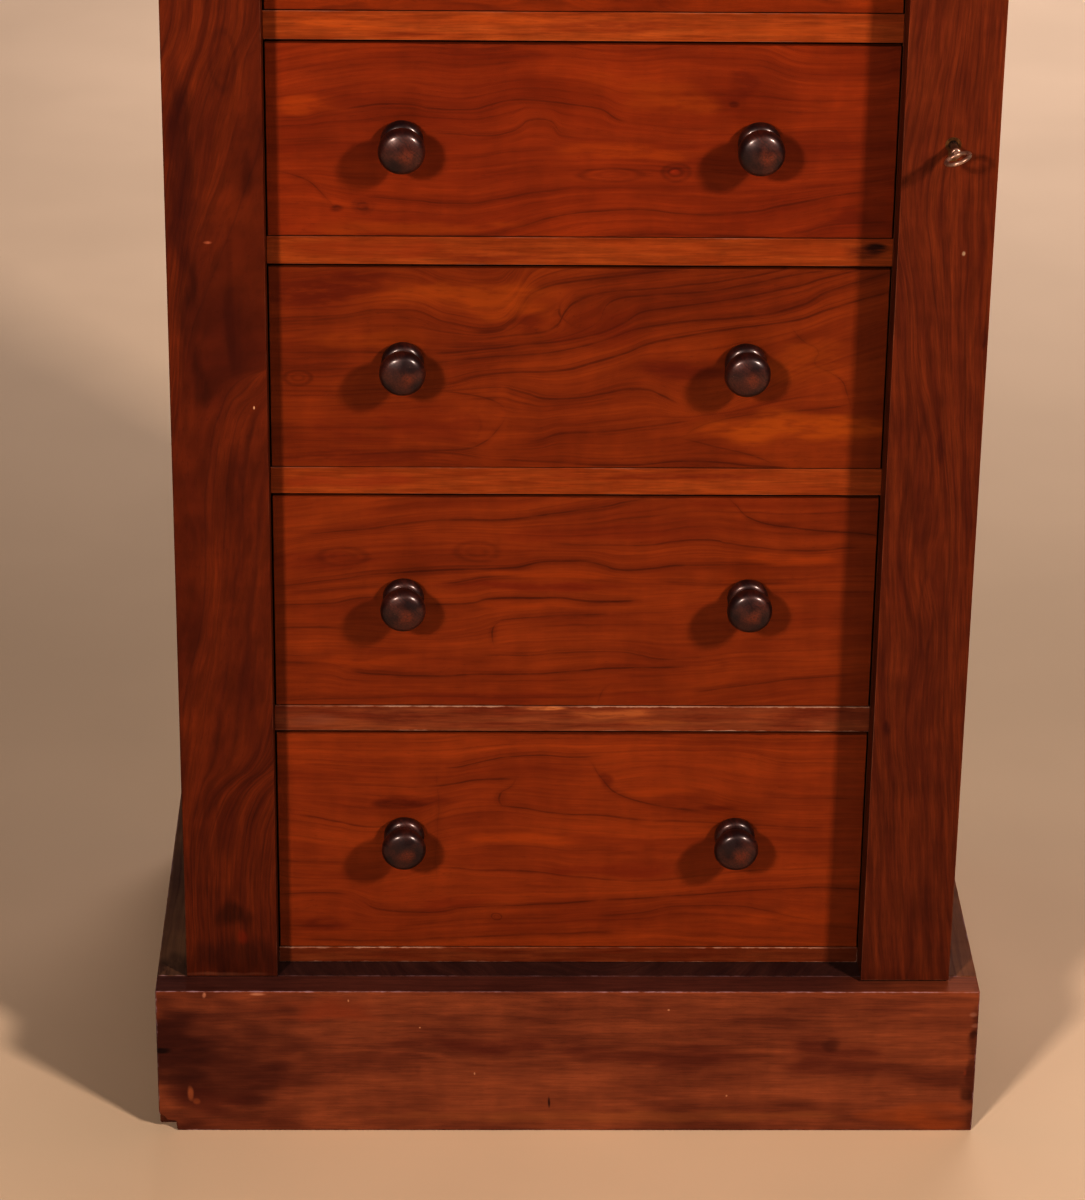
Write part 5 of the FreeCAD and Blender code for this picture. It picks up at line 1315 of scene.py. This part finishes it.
def makeScrew(settings):
    # countersunk wood screw with a slot across its head
    head, shank, depth, length = (settings[key] for key in ("head", "shank", "headDepth", "length"))
    profile = [(0, 0), (head - 0.15, 0), (head, -0.12), (shank, -depth), (shank, -length + settings["tip"]),
               (0.2, -length), (0, -length)]
    item = newItem("screw_master", lathe("screw_master", profile, settings["steps"]))
    shape = bmesh.new()
    bmesh.ops.create_cube(shape, size=1.0)
    for vertex in shape.verts:
        vertex.co = Vector(share * size for share, size in zip(vertex.co, settings["slotCutter"])) * mm
    cutter = newItem("slot_cutter", meshFrom(shape, "slot_cutter"))
    slot = item.modifiers.new("Slot", "BOOLEAN")
    slot.object = cutter
    slot.solver = "EXACT"
    settle(item)
    item.data.polygons.foreach_set("use_smooth", [False] * len(item.data.polygons))
    bpy.data.objects.remove(cutter)
    return item


screwMaster = makeScrew(screwSettings)
for name, node, end, inset, facing, seed in [
    ("case_hinge_screws", "carcass_screws", min, screwSettings["sunk"], 0.0, 11),
    ("flap_hinge_screws", "flap_screws", max, -screwSettings["sunk"], math.pi, 12),
]:
    setRepeats(name, node, seatsOf(node, end, inset), screwMaster, lockSteel, Size=1.0,
               Spin=screwSettings["spin"], Facing=facing, Seed=seed)
for master in (knobMaster, screwMaster):
    bpy.data.objects.remove(master)
print("screws set")


for node, name, finish, edge in [
    ("hinge_leaves_carcass", "hinge_leaves_case", agedBrass, 0.15),
    ("hinge_leaves_flap", "hinge_leaves_pilaster", agedBrass, 0.15),
    ("hinge_pins", "hinge_pin_rods", lockSteel, 0.3),
    ("link_plate", "lock_link_plate", lockSteel, 0.2),
    ("lock_case", "lock_box", agedBrass, 0.3),
    ("lock_bolt", "lock_sliding_bolt", lockSteel, 0.25),
    ("escutcheon", "keyhole_escutcheon", agedBrass, 0.12),
]:
    dress(node, name, [finish], edge)

keyShape = {
    "turn": 22, "bowRadius": 7.9, "wire": 1.48, "bowCentre": -217.1, "bowSteps": (64, 18), "wear": 0.06,
    "shank": 2.5, "tip": -163.9, "collar": 3.6, "collarLength": 2.8,
    "bitReach": 5.4, "bitLength": 4.4, "bitThickness": 2.1, "bitRear": -167.5,
}


def keyShank(key):
    # a round shank with a collar below the bow
    shank, collar, half, bead = key["shank"], key["collar"], key["collarLength"] / 2, 1.1
    tip = -key["tip"]
    bow = -(key["bowCentre"] + key["bowRadius"])
    front = bow - key["wire"]
    rear = front - key["collarLength"]
    profile = [(0, tip), (shank - 0.5, tip), (shank, tip + 0.5), (shank, rear - 1.6),
               (shank + 0.45, rear - 1.1), (shank + 0.5, rear - 0.5), (shank + 0.15, rear - 0.1)]
    middle = (rear + front) / 2
    profile += [(collar - bead + bead * math.cos(angle), middle + half * math.sin(angle))
                for angle in (math.radians(degrees) for degrees in range(-90, 91, 15))]
    profile += [(shank + 0.2, front + 0.15), (shank - 0.1, front + 0.8), (shank - 0.3, bow), (0, bow + 0.4)]
    return lathe("key_shank", profile, 40)


def keyBow(key):
    # a ring of slightly flattened wire
    around, section = key["bowSteps"]
    shape = bmesh.new()
    rings = []
    for step in range(around):
        angle = 2 * math.pi * step / around
        out = Vector((math.cos(angle), math.sin(angle), 0))
        wear = key["wear"] * noise.noise(out * 2.1)
        ring = []
        for part in range(section):
            turn = 2 * math.pi * part / section
            reach = key["bowRadius"] + (key["wire"] + wear) * math.cos(turn)
            rise = (key["wire"] * 0.94 + wear) * math.sin(turn)
            ring.append(shape.verts.new((out * reach + Vector((0, 0, rise))) * mm))
        rings.append(ring)
    for first, second in zip(rings, rings[1:] + rings[:1]):
        for part in range(section):
            after = (part + 1) % section
            shape.faces.new((first[part], second[part], second[after], first[after]))
    bmesh.ops.recalc_face_normals(shape, faces=shape.faces)
    return meshFrom(shape, "key_bow")


def keyBit(key):
    # a small flag with two ward cuts
    reach, length, thick = key["bitReach"], key["bitLength"], key["bitThickness"]
    outline = [(0, 0), (reach, 0), (reach, 1.3), (reach - 1.6, 1.3), (reach - 1.6, 2.0), (reach, 2.0),
               (reach, length), (reach - 1.2, length), (reach - 1.2, length - 1.2),
               (reach - 2.0, length - 1.2), (reach - 2.0, length), (0, length)]
    shape = bmesh.new()
    face = shape.faces.new([shape.verts.new(Vector((-x, y, -thick / 2)) * mm) for x, y in outline])
    extruded = bmesh.ops.extrude_face_region(shape, geom=[face])
    top = [item for item in extruded["geom"] if isinstance(item, bmesh.types.BMVert)]
    bmesh.ops.translate(shape, verts=top, vec=Vector((0, 0, thick)) * mm)
    bmesh.ops.recalc_face_normals(shape, faces=shape.faces)
    return meshFrom(shape, "key_bit")


def makeKey(key):
    # shank, bow and bit on the key's own axis, the last two turned a little
    keyX, _, keyZ = seatsOf("key", max, 0)[0]
    turned = Matrix.Rotation(-math.radians(key["turn"]), 4, "Y")
    shape = bmesh.new()
    for mesh, y, turn in (
        (keyShank(key), 0, Matrix.Identity(4)),
        (keyBow(key), key["bowCentre"], turned),
        (keyBit(key), key["bitRear"] - key["bitLength"], turned),
    ):
        mesh.transform(Matrix.Translation(Vector((keyX, y, keyZ)) * mm) @ turn)
        shape.from_mesh(mesh)
        bpy.data.meshes.remove(mesh)
    mesh = meshFrom(shape, "key_with_bow")
    item = newItem("key_with_bow", mesh)
    mesh.polygons.foreach_set("use_smooth", [len(polygon.vertices) == 4 for polygon in mesh.polygons])
    markBoards(mesh, "key_with_bow", whole=True)
    present(item, "key", paleSteel)


makeKey(keyShape)
print("metalwork made")


studio = {
    "floorSize": 14.0, "floorColour": "#c9bda9", "fill": 0.012, "zenith": 0.04, "sky": (1.0, 0.86, 0.78, 1.0),
    "look": "Medium High Contrast", "gamma": 0.667,
    "rightLight": {"place": (2.2, -2.55, 2.5), "size": 0.36, "power": 134, "colour": (1.0, 0.84, 0.76)},
    "leftLight": {"place": (-1.5, -3.1, 2.1), "size": 0.36, "power": 104, "colour": (1.0, 0.84, 0.76)},
    "backLight": {"place": (0.6, 2.7, 2.3), "size": 2.0, "power": 72, "colour": (1.0, 0.89, 0.92),
                  "aim": (0.6, 2.7, 0.0)},
    "aim": (0.0, -0.18, 0.55),
}


def makeFloor():
    # plain, with the faintest unevenness of tone
    shape = bmesh.new()
    bmesh.ops.create_grid(shape, x_segments=4, y_segments=4, size=studio["floorSize"] / 2)
    mesh = meshFrom(shape, "floor")
    floor = newItem("floor", mesh)
    material, desk, shader = newFinish("floorFinish")
    place = desk.add("ShaderNodeTexCoord").outputs["Object"]
    soft = desk.grain(place, (0.4, 0.4, 0.4), 3.0)[0]
    shade = desk.span(soft, 0.3, 0.7, 0.97, 1.03)
    desk.feed(shader.inputs["Base Color"], desk.vector("SCALE", paint(studio["floorColour"])[:3], shade))
    shader.inputs["Roughness"].default_value = 0.9
    shader.inputs["Specular IOR Level"].default_value = 0.1
    mesh.materials.append(material)


def makeLight(name, settings):
    # a square lamp that looks at its aim and stays out of the camera's sight
    data = bpy.data.lights.new(name, "AREA")
    data.shape = "SQUARE"
    data.size = settings["size"]
    data.energy = settings["power"]
    data.color = settings["colour"]
    lamp = newItem(name, data)
    place = Vector(settings["place"])
    lamp.location = place
    aim = Vector(settings.get("aim", studio["aim"]))
    lamp.rotation_euler = (aim - place).to_track_quat("-Z", "Y").to_euler()
    lamp.visible_camera = False


def makeWorld():
    # dim light from all round, a little stronger from above
    world = bpy.data.worlds.new("studio")
    bpy.context.scene.world = world
    world.use_nodes = True
    world.node_tree.nodes.clear()
    desk = NodeDesk(world.node_tree)
    _, _, up = desk.split(desk.add("ShaderNodeTexCoord").outputs["Generated"])
    strength = desk.span(up, -0.1, 0.9, studio["fill"], studio["zenith"])
    back = desk.add("ShaderNodeBackground")
    desk.feed(back.inputs["Color"], studio["sky"])
    desk.feed(back.inputs["Strength"], strength)
    output = desk.add("ShaderNodeOutputWorld")
    desk.tree.links.new(back.outputs[0], output.inputs[0])


cameraStand = {
    # metres, degrees and millimetres of lens
    "place": (-0.080, -2.7286, 1.6025), "yaw": 1.32, "pitch": 25.09, "roll": 0.73, "lens": 124.2,
}


def makeCamera(settings):
    # yaw is to the right, pitch is downwards and roll is about the line of sight
    yaw, pitch, roll = (math.radians(settings[key]) for key in ("yaw", "pitch", "roll"))
    ahead = Vector((math.sin(yaw) * math.cos(pitch), math.cos(yaw) * math.cos(pitch), -math.sin(pitch)))
    level = Vector((math.cos(yaw), -math.sin(yaw), 0))
    up = level.cross(ahead)
    right = math.cos(roll) * level + math.sin(roll) * up
    top = -math.sin(roll) * level + math.cos(roll) * up
    data = bpy.data.cameras.new("camera")
    data.sensor_width = 36
    data.lens = settings["lens"]
    data.clip_end = 60
    camera = newItem("camera", data)
    turn = Matrix((right, top, -ahead)).transposed().to_4x4()
    camera.matrix_world = Matrix.Translation(settings["place"]) @ turn
    bpy.context.scene.camera = camera


makeFloor()
for name, light in [("right_softbox", "rightLight"), ("left_softbox", "leftLight"),
                    ("floor_softbox", "backLight")]:
    makeLight(name, studio[light])
makeWorld()
makeCamera(cameraStand)
bpy.context.scene.view_settings.view_transform = "Standard"
bpy.context.scene.view_settings.look = studio["look"]
bpy.context.scene.view_settings.gamma = studio["gamma"]
print("studio made")
